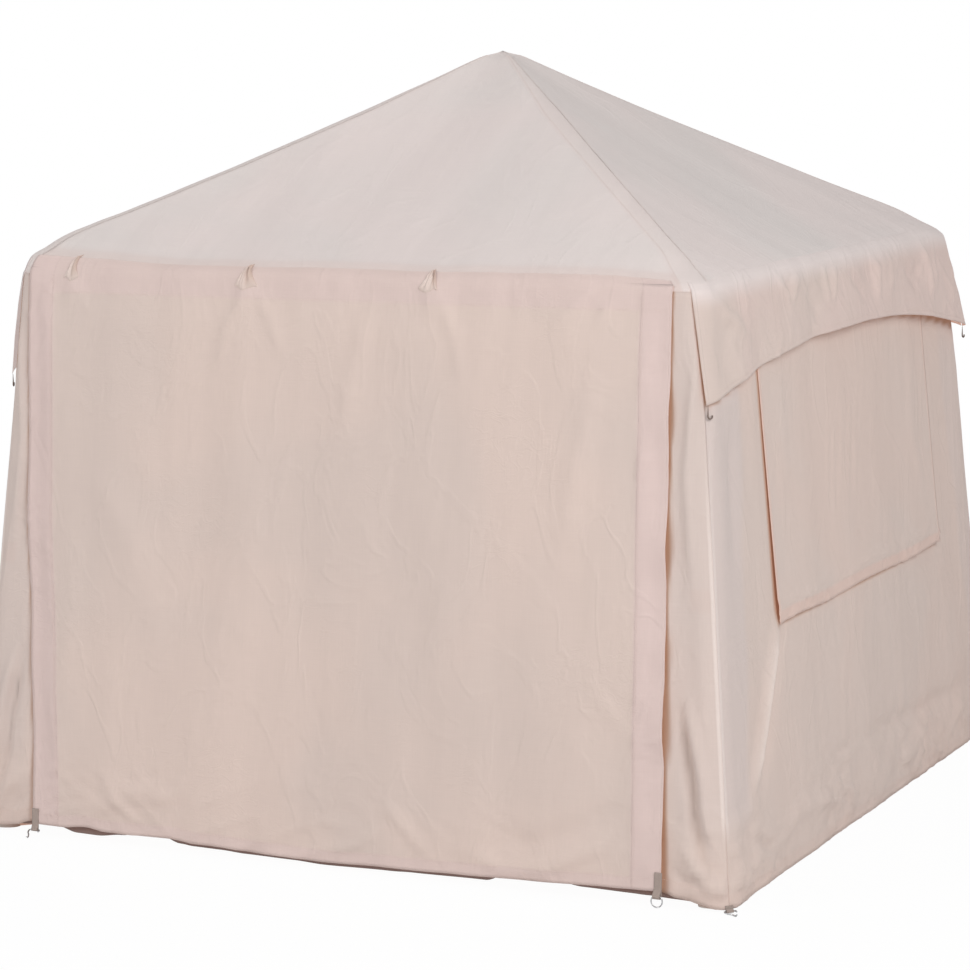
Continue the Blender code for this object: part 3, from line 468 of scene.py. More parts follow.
def crease_field(u, v, creases):
    """The creases' summed height at each point. Each fades at its two ends."""
    total = np.zeros_like(u)
    for path, half_width, height in creases:
        points = np.array(path)
        runs = np.linalg.norm(np.diff(points, axis=0), axis=1)
        starts = np.concatenate([[0.0], np.cumsum(runs)])
        nearest = np.full(u.shape, 1e9)
        place = np.zeros_like(u)
        for first, second, run, start in zip(points, points[1:], runs, starts):
            step = (second - first) / run
            along = np.clip((u - first[0]) * step[0] + (v - first[1]) * step[1], 0.0, run)
            gap = np.hypot(u - first[0] - along * step[0], v - first[1] - along * step[1])
            closer = gap < nearest
            nearest = np.where(closer, gap, nearest)
            place = np.where(closer, start + along, place)
        share = place / starts[-1]
        fade = ease(share / 0.25) * ease((1.0 - share) / 0.25)
        total += height * (0.25 + 0.75 * fade) * np.exp(-((nearest / half_width) ** 2))
    return total


def turned(points, degrees):
    """Points turned about the tent's axis."""
    angle = math.radians(degrees)
    cos, sin = math.cos(angle), math.sin(angle)
    return points @ np.array([[cos, sin, 0.0], [-sin, cos, 0.0], [0.0, 0.0, 1.0]])


def wall_offset(height):
    """Distance from the tent's axis to the outer face of a wall at a height."""
    return BASE_SIDE / 2 - WALL_TAPER * height / EAVE_HEIGHT


def face_half(height):
    """Half the width of a wall's flat face at a height."""
    return wall_offset(height) - CORNER_RADIUS


def flat_run(size, height):
    """How much of a run from the middle of the side lies on its flat face."""
    share = np.clip((size - STRAIGHT_HALF) / (BASE_FLAT - STRAIGHT_HALF), 0.0, 1.0)
    return np.minimum(size, STRAIGHT_HALF) + share * (face_half(height) - STRAIGHT_HALF)


def shell_point(run, height, out):
    """Points out from the front wall's face, where run goes on round the corners."""
    size = np.abs(run)
    angle = np.maximum(size - BASE_FLAT, 0.0) / CORNER_RADIUS
    reach = CORNER_RADIUS + out
    x = np.sign(run) * (flat_run(size, height) + reach * np.sin(angle))
    return np.stack([x, -(face_half(height) + reach * np.cos(angle)), height + 0.0 * x], axis=-1)


def unrolled(run, height):
    """Distance along the cloth from the middle of the side, round the corner too."""
    size = np.abs(run)
    return np.sign(run) * (flat_run(size, height) + np.maximum(size - BASE_FLAT, 0.0))


# Meshes

STITCH_FREE = 0.05  # a seam mark of cloth that is far from any stitch line


def cleaned(mesh, gap, outward=False):
    """Joins points closer than a gap, drops loose ones, and turns the faces out if asked."""
    bm = bmesh.new()
    bm.from_mesh(mesh)
    bmesh.ops.remove_doubles(bm, verts=bm.verts, dist=gap)
    loose = [vert for vert in bm.verts if not vert.link_faces]
    bmesh.ops.delete(bm, geom=loose, context="VERTS")
    if outward:
        bmesh.ops.recalc_face_normals(bm, faces=bm.faces)
    bm.to_mesh(mesh)
    bm.free()
    return mesh


def marked(mesh, mark, values):
    attribute = mesh.attributes.new(mark, "FLOAT", "POINT")
    attribute.data.foreach_set("value", np.asarray(values, np.float32).reshape(-1))


def grid_mesh(name, points, place, marks, holes=None, wrapped=False):
    """A mesh of a grid of points, with its cloth place in metres and its marks by point.

    Rows run up and columns to the right seen from outside. A hole is a cell left open.
    """
    rows, columns = points.shape[:2]
    index = np.arange(rows * columns).reshape(rows, columns)
    left, right = index[:, :-1], index[:, 1:]
    if wrapped:
        left, right = index, np.roll(index, -1, axis=1)
    faces = np.stack([left[:-1], right[:-1], right[1:], left[1:]], axis=-1)
    if holes is not None:
        faces = faces[~holes]
    faces = faces.reshape(-1, 4)
    mesh = bpy.data.meshes.new(name)
    mesh.vertices.add(rows * columns)
    mesh.vertices.foreach_set("co", points.reshape(-1).astype(np.float32))
    mesh.loops.add(faces.size)
    mesh.loops.foreach_set("vertex_index", faces.reshape(-1).astype(np.int32))
    mesh.polygons.add(len(faces))
    mesh.polygons.foreach_set("loop_start", np.arange(0, faces.size, 4, dtype=np.int32))
    layer = mesh.uv_layers.new(name="cloth_place")
    layer.data.foreach_set("uv", place.reshape(-1, 2)[faces.reshape(-1)].reshape(-1))
    for mark, values in marks.items():
        marked(mesh, mark, values)
    mesh.update(calc_edges=True)
    mesh.validate()
    cleaned(mesh, 2e-5).shade_smooth()
    return mesh


def placed(name, data):
    """A new object in the scene."""
    made = bpy.data.objects.new(name, data)
    bpy.context.scene.collection.objects.link(made)
    return made


def new_piece(name, mesh, material):
    mesh.materials.clear()
    mesh.materials.append(material)
    return placed(name, mesh)


def applied(piece):
    """The piece as a plain mesh, with its modifiers taken into it."""
    bpy.context.view_layer.update()
    graph = bpy.context.evaluated_depsgraph_get()
    mesh = bpy.data.meshes.new_from_object(piece.evaluated_get(graph))
    mesh.name = piece.name
    piece.modifiers.clear()
    old = piece.data
    if piece.type == "MESH":
        piece.data = mesh
        bpy.data.meshes.remove(old)
        return piece
    made = placed(piece.name + "_mesh", mesh)
    name = piece.name
    bpy.data.objects.remove(piece, do_unlink=True)
    made.name = name
    return made


def thickened(piece, thickness, offset, even=False):
    """Gives a sheet its thickness, which lies on its inner side at an offset of -1."""
    wall = piece.modifiers.new("thickness", "SOLIDIFY")
    wall.thickness = thickness
    wall.offset = offset
    wall.use_quality_normals = even
    return applied(piece)


def with_marks(points, marks):
    """The marks of a sheet, with plain cloth for the ones left out."""
    plain = np.zeros(points.shape[:2])
    return {"seam": plain + STITCH_FREE, "doubled": plain, "behind": plain, **marks}


def cloth_piece(name, points, place, marks, look, thickness=None, holes=None, wrapped=False):
    """A sheet of cloth with a finish, whose inner side is marked."""
    mesh = grid_mesh(name, points, place, with_marks(points, marks), holes, wrapped)
    outer = len(mesh.vertices)
    piece = new_piece(name, mesh, finish(look))
    piece = thickened(piece, thickness or shape().cloth, -1.0, even=True)
    marked(piece.data, "inner", np.arange(len(piece.data.vertices)) >= outer)
    return piece


def fit(piece, node, slot, body="root", *bend):
    """Ties a piece to its body, the frame node that it replaces and its slot.

    A sheet also has a bend: the degrees its side is turned by, and its hinge's height.
    """
    if bend:
        bend_with(piece, body, *bend)
    else:
        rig.ride(piece, body)
    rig.replaces(piece, node)
    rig.slot(piece, slot)


def seam_distance(*distances):
    """Distance to the nearest of some stitch lines, up to 5 cm."""
    return np.minimum(np.minimum.reduce(np.broadcast_arrays(*distances)), STITCH_FREE)


# Stitch lines found while the sheets are made, by the piece that they are sewn to
SEWN = {}


def sew(owner, points):
    SEWN.setdefault(owner, []).append(np.asarray(points))


# Finishes


def srgb(*values):
    """A colour read from 0 to 255, as linear light."""
    shares = [value / 255.0 for value in values]
    return tuple(s / 12.92 if s <= 0.04045 else ((s + 0.055) / 1.055) ** 2.4 for s in shares)


def times(colour, share):
    return [min(1.0, value * share) for value in colour]


class Net:
    """A node tree in the making. Most methods add nodes and give back the last one's output."""

    def __init__(self, tree, family="ShaderNode"):
        self.tree, self.family = tree, family

    def put(self, node, key, item):
        """Links a socket to a node's input, or sets the input to a plain value."""
        if isinstance(item, bpy.types.NodeSocket):
            self.tree.links.new(item, node.inputs[key])
        else:
            node.inputs[key].default_value = item

    def add(self, kind, inputs=None, **settings):
        """A new node, with its settings made and its inputs put in."""
        node = self.tree.nodes.new(kind if "Node" in kind else self.family + kind)
        for key, value in settings.items():
            setattr(node, key, value)
        for key, item in (inputs or {}).items():
            self.put(node, key, item)
        return node

    def step(self, kind, inputs=None, **settings):
        return self.add(kind, inputs, **settings).outputs[0]

    def math(self, operation, *items):
        return self.step("ShaderNodeMath", dict(enumerate(items)), operation=operation)

    def map(self, value, low, high, to_low=0.0, to_high=1.0):
        """A smooth clamped map of a value from one range to another."""
        labels = ("Value", "From Min", "From Max", "To Min", "To Max")
        inputs = dict(zip(labels, (value, low, high, to_low, to_high)))
        return self.add("MapRange", inputs, interpolation_type="SMOOTHSTEP").outputs["Result"]

    def mix(self, factor, first, second, blend="MIX"):
        inputs = {0: factor}
        for key, item in ((6, first), (7, second)):
            inputs[key] = item if isinstance(item, bpy.types.NodeSocket) else (*item[:3], 1.0)
        return self.add("Mix", inputs, data_type="RGBA", blend_type=blend).outputs[2]

    def noise(self, vector, scale, detail=3.0, distortion=0.0, stretch=(1.0, 1.0, 1.0)):
        mapping = self.step("Mapping", {"Vector": vector, "Scale": stretch})
        inputs = {"Vector": mapping, "Scale": scale, "Detail": detail, "Distortion": distortion}
        return self.add("TexNoise", inputs).outputs["Fac"]

    def axes(self, vector):
        return self.add("SeparateXYZ", {"Vector": vector}).outputs

    def mark(self, name):
        return self.add("Attribute", attribute_name=name).outputs["Fac"]

    def cloth_place(self):
        return self.step("UVMap", uv_map="cloth_place")

    def object_place(self):
        return self.add("TexCoord").outputs["Object"]

    def effect(self, name, **inputs):
        """Outputs of a shared effect, whose group is made when it is first asked for."""
        if name not in EFFECTS_MADE:
            EFFECTS_MADE[name] = make_effect(name)
        return self.add("Group", inputs, node_tree=EFFECTS_MADE[name]).outputs


def weave_effect(net, place, thread):
    """Plain weave: threads that pass over and under each other, with slubs along them."""
    axes, waves = net.axes(place), []
    for axis in ("X", "Y"):
        turns = net.math("MULTIPLY", net.math("DIVIDE", axes[axis], thread), math.pi)
        waves.append(net.math("ABSOLUTE", net.math("SINE", turns)))
    density = net.math("DIVIDE", 1.0, thread)
    over = net.add("TexChecker", {"Vector": place, "Scale": density}).outputs["Fac"]
    warp = net.math("MULTIPLY", waves[0], over)
    weft = net.math("MULTIPLY", waves[1], net.math("SUBTRACT", 1.0, over))
    upright = net.noise(place, 1.0, 2.0, stretch=(420.0, 9.0, 1.0))
    level = net.noise(place, 1.0, 2.0, stretch=(9.0, 420.0, 1.0))
    slub = net.math("MULTIPLY", net.math("ADD", upright, level), 0.5)
    return net.math("ADD", warp, weft), slub


def crinkle_effect(net, place, size):
    """Fold marks and small crinkles of cloth that was packed away."""
    broad = net.noise(place, 5.0, 3.0, 0.8, (1.0, 0.55, 1.0))
    crest = net.math("ABSOLUTE", net.math("SUBTRACT", broad, 0.5))
    crest = net.map(crest, 0.0, 0.07, 1.0, 0.0)
    fine = net.noise(place, 21.0, 2.0, 1.2, (0.8, 1.0, 1.0))
    small = net.math("ABSOLUTE", net.math("SUBTRACT", fine, 0.5))
    patch = net.map(net.noise(place, 2.3, 1.0), 0.45, 0.7)
    small = net.math("MULTIPLY", net.map(small, 0.0, 0.06, 1.0, 0.0), patch)
    return net.math("MULTIPLY", net.math("MULTIPLY_ADD", small, 0.35, crest), size), broad


def sewing_effect(net, place, seam):
    """Puckers beside a stitch line, and the line that the needle draws in."""
    ripple = net.math("SUBTRACT", net.noise(place, 85.0, 1.0), 0.5)
    pucker = net.math("MULTIPLY", net.map(seam, 0.0, 0.016, 1.0, 0.0), ripple)
    line = net.map(seam, 0.0, 0.0022, 1.0, 0.0)
    return net.math("MULTIPLY_ADD", line, -0.35, pucker), line


def soil_effect(net, place):
    """Dust that rises a little way up from the ground."""
    low = net.map(net.axes(place)["Z"], 0.0, 0.22, 1.0, 0.0)
    return (net.math("MULTIPLY", low, net.map(net.noise(place, 9.0, 4.0), 0.35, 0.75)),)


# For each effect: its maker, its number input and that one's default, and its outputs
EFFECTS = {
    "plain_weave": (weave_effect, ("Thread", 0.0008), ("Height", "Slub")),
    "packing_crinkle": (crinkle_effect, ("Size", 1.0), ("Height", "Shade")),
    "sewn_line": (sewing_effect, ("Seam", STITCH_FREE), ("Height", "Line")),
    "ground_dust": (soil_effect, None, ("Mask",)),
}
EFFECTS_MADE = {}


def make_effect(name):
    maker, number, labels = EFFECTS[name]
    tree = bpy.data.node_groups.new(name, "ShaderNodeTree")
    sockets = tree.interface.new_socket
    sockets("Place", in_out="INPUT", socket_type="NodeSocketVector")
    if number:
        socket = sockets(number[0], in_out="INPUT", socket_type="NodeSocketFloat")
        socket.default_value = number[1]
    for label in labels:
        sockets(label, in_out="OUTPUT", socket_type="NodeSocketFloat")
    net = Net(tree)
    start, end = net.add("NodeGroupInput"), net.add("NodeGroupOutput")
    inputs = [start.outputs["Place"]] + ([start.outputs[number[0]]] if number else [])
    for label, made in zip(labels, maker(net, *inputs)):
        net.put(end, label, made)
    return tree


class Surface(Net):
    """A material's tree, with the shader that it ends in."""

    def __init__(self, name):
        self.material = bpy.data.materials.new(name)
        self.material.use_nodes = True
        super().__init__(self.material.node_tree)
        self.shader = self.tree.nodes["Principled BSDF"]

    def set(self, inputs, bump=None):
        """Sets the shader's inputs, and its bump, given as (height, distance, strength)."""
        for key, item in inputs.items():
            self.put(self.shader, key, item)
        if bump:
            values = dict(zip(("Height", "Distance", "Strength"), bump))
            self.put(self.shader, "Normal", self.step("Bump", values))


def cloth_finish(net, colour, greyer, doubled, crinkle, roughness, dusty):
    """Matte woven cloth, a little deeper in colour where it is doubled."""
    colours = bpy.context.scene.tent_colours
    place, world = net.cloth_place(), net.object_place()
    weave = net.effect("plain_weave", Place=place)
    folds = net.effect("packing_crinkle", Place=place)
    sewing = net.effect("sewn_line", Place=place, Seam=net.mark("seam"))
    tone = net.mix(net.map(net.noise(world, 1.3, 2.0, 0.4), 0.36, 0.64), colour, greyer)
    tone = net.mix(net.mark("doubled"), tone, doubled)
    # Painted shade: a leg tie behind the cloth shows through as a darker band.
    tone = net.mix(net.math("MULTIPLY", net.mark("behind"), 0.55), tone, times(doubled, 0.94))
    # Painted light: a highlight on crests and seams, a bluish sky tint over the air legs, and warm shade in gaps
    # between sheets.
    for mark in ("pale", "cool", "warm"):
        tone = net.mix(net.mark(mark), tone, getattr(colours, mark))
    # Painted glow: the inner side and the warm gaps give off light of their own, though the cloth is no lamp.
    glow = net.math("MULTIPLY", net.mark("warm"), 0.1)
    glow = net.math("MAXIMUM", glow, net.mark("inner"))
    glow_tone = net.mix(net.mark("cool"), colours.glow, (0.96, 0.9, 0.89))
    slub = net.map(weave["Slub"], 0.35, 0.65, 0.982, 1.01)
    streak = net.noise(place, 1.0, 2.0, 0.3, (6.5, 0.7, 1.0))
    slub = net.math("MULTIPLY", slub, net.map(streak, 0.3, 0.7, 0.975, 1.012))
    # Painted shade: the stitch line's groove is painted a little darker.
    shade = net.math("SUBTRACT", slub, net.math("MULTIPLY", sewing["Line"], 0.07))
    shades = net.step("CombineColor", {0: shade, 1: shade, 2: shade})
    tone = net.mix(1.0, tone, shades, "MULTIPLY")
    if dusty:
        dust = net.math("MULTIPLY", net.effect("ground_dust", Place=world)["Mask"], 0.14)
        tone = net.mix(dust, tone, times(greyer, 0.72))
    height = net.math("MULTIPLY", weave["Height"], 0.00012)
    height = net.math("MULTIPLY_ADD", folds["Height"], crinkle, height)
    height = net.math("MULTIPLY_ADD", sewing["Height"], 0.0011, height)
    surface = {
        "Base Color": tone,
        "Emission Color": net.mix(glow, (0.0, 0.0, 0.0), glow_tone),
        "Emission Strength": 0.36,
        "Roughness": net.map(folds["Shade"], 0.3, 0.7, roughness - 0.06, roughness + 0.06),
        "Specular IOR Level": 0.28,
        "Sheen Weight": 0.12,
        "Sheen Roughness": 0.45,
    }
    net.set(surface, (height, 1.0, 0.9))


def mesh_finish(net, colour):
    """Insect mesh: fine threads with open cells between them."""
    pitch, thread = 0.0024, 0.3
    place = net.cloth_place()
    axes, solid = net.axes(place), []
    for axis in ("X", "Y"):
        part = net.math("FRACT", net.math("DIVIDE", axes[axis], pitch))
        solid.append(net.math("LESS_THAN", part, thread))
    alpha = net.math("MAXIMUM", net.math("MAXIMUM", *solid), net.mark("doubled"))
    tone = net.mix(net.noise(place, 30.0), times(colour, 0.8), times(colour, 1.2))
    net.set({"Alpha": alpha, "Base Color": tone, "Roughness": 0.7})


def webbing_finish(net, colour):
    """Ribbed narrow webbing with a twill face."""
    place = net.cloth_place()
    axes = net.axes(place)
    slant = net.math("MULTIPLY_ADD", axes["X"], 0.8, axes["Y"])
    twill = net.math("SINE", net.math("MULTIPLY", slant, 2 * math.pi / 0.0017))
    ribs = net.math("SINE", net.math("MULTIPLY", axes["X"], 2 * math.pi / 0.0032))
    height = net.math("MULTIPLY_ADD", ribs, 0.6, twill)
    fuzz = net.noise(place, 260.0, 4.0)
    # Painted shade: the webbing is darker where its ribs and twill sink, with random fuzz on top.
    shade = net.math("MULTIPLY_ADD", fuzz, 0.35, net.map(height, -1.6, 1.6))
    tone = net.mix(shade, times(colour, 0.78), times(colour, 1.12))
    surface = {"Base Color": tone, "Roughness": 0.86, "Sheen Weight": 0.2}
    net.set(surface, (height, 0.00018, 1.0))


def moulded_finish(net, colour, roughness, share=1.0):
    """Moulded plastic with a fine grain and paler rubbed patches."""
    colour = times(colour, share)
    place = net.object_place()
    speck = net.noise(place, 900.0, 2.0)
    rub = net.map(net.noise(place, 38.0, 4.0), 0.56, 0.74)
    tone = net.mix(net.math("MULTIPLY", rub, 0.35), colour, times(colour, 1.9))
    rough = net.math("MULTIPLY_ADD", rub, 0.16, roughness)
    net.set({"Base Color": tone, "Roughness": rough}, (speck, 0.00012, 1.0))


def film_finish(net, colour):
    """Clear blown film of the air bladders, with soft welded ripples."""
    ripple = net.noise(net.object_place(), 26.0, 3.0, 0.6)
    # Painted shade: the film is darker in its ripples' hollows.
    tone = net.mix(ripple, times(colour, 0.9), colour)
    rough = net.map(ripple, 0.3, 0.7, 0.16, 0.32)
    surface = {"Base Color": tone, "Roughness": rough, "Coat Weight": 0.3}
    net.set(surface, (ripple, 0.002, 0.6))


def steel_finish(net, colour):
    """Zinc-plated wire, drawn lengthways and dulled in spots."""
    place = net.object_place()
    spots = net.map(net.noise(place, 160.0, 5.0), 0.45, 0.7)
    tone = net.mix(spots, colour, times(colour, 0.55))
    rough = net.math("MULTIPLY_ADD", spots, 0.25, 0.28)
    surface = {"Base Color": tone, "Metallic": 0.9, "Roughness": rough}
    net.set(surface, (net.noise(place, 1400.0, 2.0), 0.00006, 1.0))


def thread_finish(net, colour):
    """Spun sewing thread."""
    ply = net.noise(net.object_place(), 1800.0, 2.0)
    tone = net.mix(ply, times(colour, 0.85), times(colour, 1.08))
    net.set({"Base Color": tone, "Roughness": 0.7}, (ply, 0.0001, 1.0))


# For each finish: its maker, its colours on the panel and its numbers. A cloth's numbers are
# the depth of its crinkles, its roughness and whether dust lies on it.
FINISHES = {
    "curtain": (cloth_finish, ("cloth", "cloth_grey", "doubled"), (0.0011, 0.78, True)),
    "wall": (cloth_finish, ("side_cloth", "cloth_grey", "side_doubled"), (0.0012, 0.78, True)),
    "flap": (cloth_finish, ("side_cloth", "cloth_grey", "side_doubled"), (0.0009, 0.78, False)),
    "valance": (cloth_finish, ("valance", "cloth_grey", "roof"), (0.0012, 0.78, False)),
    "roof": (cloth_finish, ("roof", "roof_grey", "valance"), (0.0008, 0.78, False)),
    "groundsheet": (cloth_finish, ("groundsheet",) * 3, (0.001, 0.6, True)),
    "sleeve": (cloth_finish, ("sleeve",) * 3, (0.0006, 0.7, False)),
    "mesh": (mesh_finish, ("mesh",), ()),
    "webbing": (webbing_finish, ("webbing",), ()),
    "film": (film_finish, ("film",), ()),
    "plastic": (moulded_finish, ("plastic",), (0.42,)),
    "hook": (moulded_finish, ("hook",), (0.55,)),
    "rubber": (moulded_finish, ("plastic",), (0.62, 0.6)),
    "steel": (steel_finish, ("steel",), ()),
    "thread": (thread_finish, ("thread",), ()),
}
FINISHED = {}


def finish(name):
    """A material by its finish, made once from the colours on the panel."""
    if name not in FINISHED:
        maker, tones, numbers = FINISHES[name]
        net = Surface(name)
        colours = bpy.context.scene.tent_colours
        maker(net, *[getattr(colours, tone) for tone in tones], *numbers)
        FINISHED[name] = net.material
    return FINISHED[name]


def shape():
    return bpy.context.scene.tent_shape


# Roof


# How far the front left hip rises over its plain line, by share of the way out
FRONT_LEFT_HIP = (
    (0.0, 0.0), (0.1, 0.005), (0.25, 0.01), (0.4, 0.013), (0.55, 0.016), (0.7, 0.021),
    (0.78, 0.024), (0.86, 0.029), (0.93, 0.036), (0.97, 0.031), (1.0, 0.0227),
)


def roof_profile():
    """Half width, height, corner radius and share of the way out, from the lip up to the peak."""
    low, bend = EAVE_HEIGHT - ROOF_LIP, EAVE_HEIGHT - EAVE_ROLL
    rows = [(wall_offset(z), z, CORNER_RADIUS, 1.0) for z in np.linspace(low, bend, 3)]
    start = np.array([wall_offset(bend), bend])
    knee = np.array([EAVE_HALF, EAVE_HEIGHT])
    over = np.array([ROLL_SHARE * EAVE_HALF, hip_height(ROLL_SHARE)])
    for turn in np.linspace(0.0, 1.0, 13)[1:]:
        spot = start * (1 - turn) ** 2 + 2 * knee * turn * (1 - turn) + over * turn**2
        share = 1.0 - (1.0 - ROLL_SHARE) * turn
        rows.append((spot[0], spot[1], roof_corner_radius(share), share))
    for share in stops(ROLL_SHARE, 0.9, 0.0, step=0.012)[1:]:
        rows.append((share * EAVE_HALF, hip_height(share), roof_corner_radius(share), share))
    return np.array(rows, float).T


def hip_height(share):
    """Height of the sharp hip line, from 0 at the peak to 1 at the eave."""
    return EAVE_HEIGHT + ROOF_RISE * (1.0 - share) - 4.0 * HIP_DIP * share * (1.0 - share)


def roof_corner_radius(share):
    open_out = ease((share - 0.85) / 0.15)
    hip = HIP_RADIUS * min(1.0, share / 0.3)
    return hip + (CORNER_RADIUS - HIP_RADIUS) * open_out


def round_square(quarter, kind, value, half, radius):
    """A point on a square with round corners, with its height left at 0, and how near a corner."""
    flat = half - radius
    angle = np.where(kind == 0, 0.0, value)
    side = np.where(kind == 0, value, 1.0)
    x = side * flat + radius * np.sin(angle)
    y = -(flat + radius * np.cos(angle))
    turn = quarter * math.pi / 2
    spun = np.stack([x * np.cos(turn) - y * np.sin(turn), x * np.sin(turn) + y * np.cos(turn)], -1)
    return spun, np.where(kind == 0, np.abs(value), 1.0)


def round_columns(step, count):
    """Columns round a square: its quarter, whether on a side (0) or corner (1), and the place."""
    side = stops(-1.0, -0.9, 0.9, 1.0, step=step)
    arc = np.linspace(0.0, math.pi / 2, count + 1)[1:-1]
    columns = []
    for quarter in range(4):
        columns += [(quarter, 0, value) for value in side]
        columns += [(quarter, 1, value) for value in arc]
    return np.array(columns, float).T


def roof_place(quarter, kind, value, row, lift=0.0):
    """Points of the roof for columns and rows given as arrays of one shape."""
    lines = roof_profile()
    index = np.arange(len(lines[0]))
    half, height, radius, share = [np.interp(row, index, line) for line in lines]
    way = np.gradient(lines[:2], axis=1)
    way /= np.hypot(*way)
    out, over = np.interp(row, index, way[1]), np.interp(row, index, -way[0])
    spun, edge = round_square(quarter, kind, value, half + lift * out, radius + lift * out)
    slope = ease((1.0 - share) / 0.05)
    rise = -ROOF_SAG * np.sin(math.pi * share) * (1.0 - edge**2) ** 2
    rise = rise - CORNER_DROP * ease((share - 0.88) / 0.1) * edge**12
    rise = rise - PEAK_FLAT * ease(1.0 - share / 0.05)
    hand = np.where(kind == 0, value, 1.0)
    corner = np.where(hand < 0, (quarter - 1) % 4, quarter)
    shoulder = through(share, FRONT_LEFT_HIP) * (corner == 3)
    rise = rise + shoulder * edge**5 * ease((1.0 - share) / 0.03)
    x, y = spun[..., 0], spun[..., 1]
    waves = 0.0045 * wander(x, y, 0.42, 0.55, 21) + 0.002 * wander(x, y, 0.16, 0.2, 22)
    along = np.where(kind == 0, value * half, half)
    ripple = crumple(along, share * EAVE_HALF, 0.3, 0.05, 1.25, 31)
    ripple = ripple * ease((share - 0.62) / 0.3)
    rise = rise + slope * (waves * (1.0 - 0.6 * edge**4) + 0.004 * ripple)
    tension = np.sin(edge * 19.0) * 0.0012 * ease((share - 0.3) / 0.5)
    return np.stack([x, y, height + rise + slope * tension + lift * over], -1)


def eave_row(up):
    """The roof's row at a distance up the cloth from the hinge line, in parts of a row."""
    half, height = roof_profile()[:2]
    run = np.concatenate([[0.0], np.cumsum(np.hypot(np.diff(half), np.diff(height)))])
    return np.interp(np.interp(HINGE_HEIGHT, height, run) + up, run, np.arange(len(run)))


def rolled_in(height):
    """How far the roll of the eave lies inside the wall's face at a height."""
    half, rise = roof_profile()[:2]
    level = np.maximum(height, EAVE_HEIGHT - EAVE_ROLL)
    return wall_offset(level) - np.interp(level, rise, half)


def eave_place(side, value, angle, up, lift):
    """Points on the roll of the eave over a side, at a distance up the cloth from the hinge."""
    quarter = SIDES[side] / 90.0
    turns_left = (angle > 0) & (value < 0)
    kind = (angle > 0).astype(float)
    place = np.where(angle > 0, np.where(turns_left, math.pi / 2 - angle, angle), value)
    quarter = np.where(turns_left, (quarter - 1) % 4, quarter)
    return roof_place(quarter, kind, place, eave_row(up), lift)


def build_canopy():
    """The roof: one cloth over four hips, with a tape sewn along each hip."""
    quarter, kind, value = round_columns(0.017, 9)
    rows = len(roof_profile()[0])
    grid = np.ones((rows, 1))
    q, k, v = quarter * grid, kind * grid, value * grid
    points = roof_place(q, k, v, np.arange(rows)[:, None] * np.ones_like(v))
    half, _, radius, share = [line[:, None] * np.ones_like(v) for line in roof_profile()]
    edge = np.where(k == 0, np.abs(v), 1.0)
    hip_gap = (1.0 - edge) * (half - radius)
    slope_run = share * EAVE_HALF / math.cos(ROOF_PITCH)
    place = np.stack([np.where(k == 0, v * half, half + radius * v), slope_run], -1)
    place[..., 0] += q * 3.0
    tape = np.where(edge >= 1.0, 1.0, ease((0.01 - hip_gap) / 0.004))
    marks = {
        "seam": seam_distance(np.abs(hip_gap - 0.01), np.abs(slope_run - 1.355)),
        "doubled": 0.15 * tape + 0.45 * ease((share - 0.94) / 0.03) * ((q == 0) & (k == 0)),
    }
    piece = cloth_piece("roof_cloth", points, place, marks, "roof", wrapped=True)
    top = rows - 2.0
    for corner in range(4):
        for value_at in (0.1, math.pi / 2 - 0.1):
            line = np.linspace(9.5, top - 2, 150)
            same = np.ones_like(line)
            sew("roof_cloth", roof_place(same * corner, same, same * value_at, line, 0.0005))
    fit(piece, "roof_canopy", "roof_cloth")
    slant = EAVE_HALF / math.cos(ROOF_PITCH)
    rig.sheet(
        piece,
        flat=(2 * slant, 2 * slant),
        area=4.0 * EAVE_HALF * (slant + 2.0 * ROOF_LIP),
        held="stretched",
        rests_on=["beam_sleeve_front_right", "beam_sleeve_rear_left", "apex_hub"],
    )


# Walls

MESH_CLOTH = 0.0006
WALL_CREASES = {
    "front": STRIP_CREASES,
    "right": RIGHT_WALL_CREASES,
    "rear": REAR_WALL_CREASES,
    "left": LEFT_WALL_CREASES,
}
# Where the cloth meets an air leg's inner side, as (height, distance from the middle)
LEG_EDGE = ((0.1, 1.17), (0.3, 1.137), (0.78, 1.06), (1.44, 0.985), (1.8, 0.94))
# The creases drawn tight enough to rub pale along their crests
# The tight creases, whose crests get a painted highlight as though they caught the light
TIGHT_CREASES = {
    "front": (),
    "right": RIGHT_WALL_CREASES[:1],
    "rear": REAR_WALL_CREASES[3:4],
    "left": LEFT_WALL_CREASES[2:3],
}


def room_behind(along, height):
    """How far a wall's cloth may be drawn in before it meets the leg's sleeve or the ring."""
    off = np.minimum(np.abs(along) - face_half(height), 0.0)
    leg = CORNER_RADIUS - np.sqrt(np.maximum(SLEEVE_RADIUS**2 - off**2, 0.0)) - 0.0035
    ring = 0.02 * (1.0 - near(height, RING_HEIGHT, 0.1))
    return np.clip(np.minimum(leg, ring), 0.0, 0.018)


def pulled_tight(height):
    return ease((1.45 - height) / 0.5)


def curtain_line(along, height):
    """How far from the middle the curtain's edge hangs."""
    return by_hand(along, height, CURTAIN_RIGHT_LINE, CURTAIN_LEFT_LINE)


def curtain_cover(along, height, reach):
    """1 where the curtain hangs over the front wall, fading over a reach past its edge."""
    flat, edge = face_half(height), curtain_line(along, height)
    over = np.clip(edge - flat, 0.0, CORNER_REACH)
    edge = np.minimum(edge, flat) + CORNER_RADIUS * np.arcsin(over / CORNER_RADIUS)
    return ease((edge + reach - np.abs(along)) / reach)


def wrap_cover(run, height, reach):
    """1 where the right valance's front end lies over the front wall."""
    angle = np.maximum(run - BASE_FLAT, 0.0) / CORNER_RADIUS
    down = np.clip((HINGE_HEIGHT - height) / VALANCE_END_DEPTH, 0.0, 1.0)
    edge = math.pi / 4 - VALANCE_RIGHT_WRAP * (1.0 - down)
    above = ease((height - HINGE_HEIGHT + VALANCE_END_DEPTH + 0.02) / 0.02)
    return ease((angle - edge + reach) / reach) * above


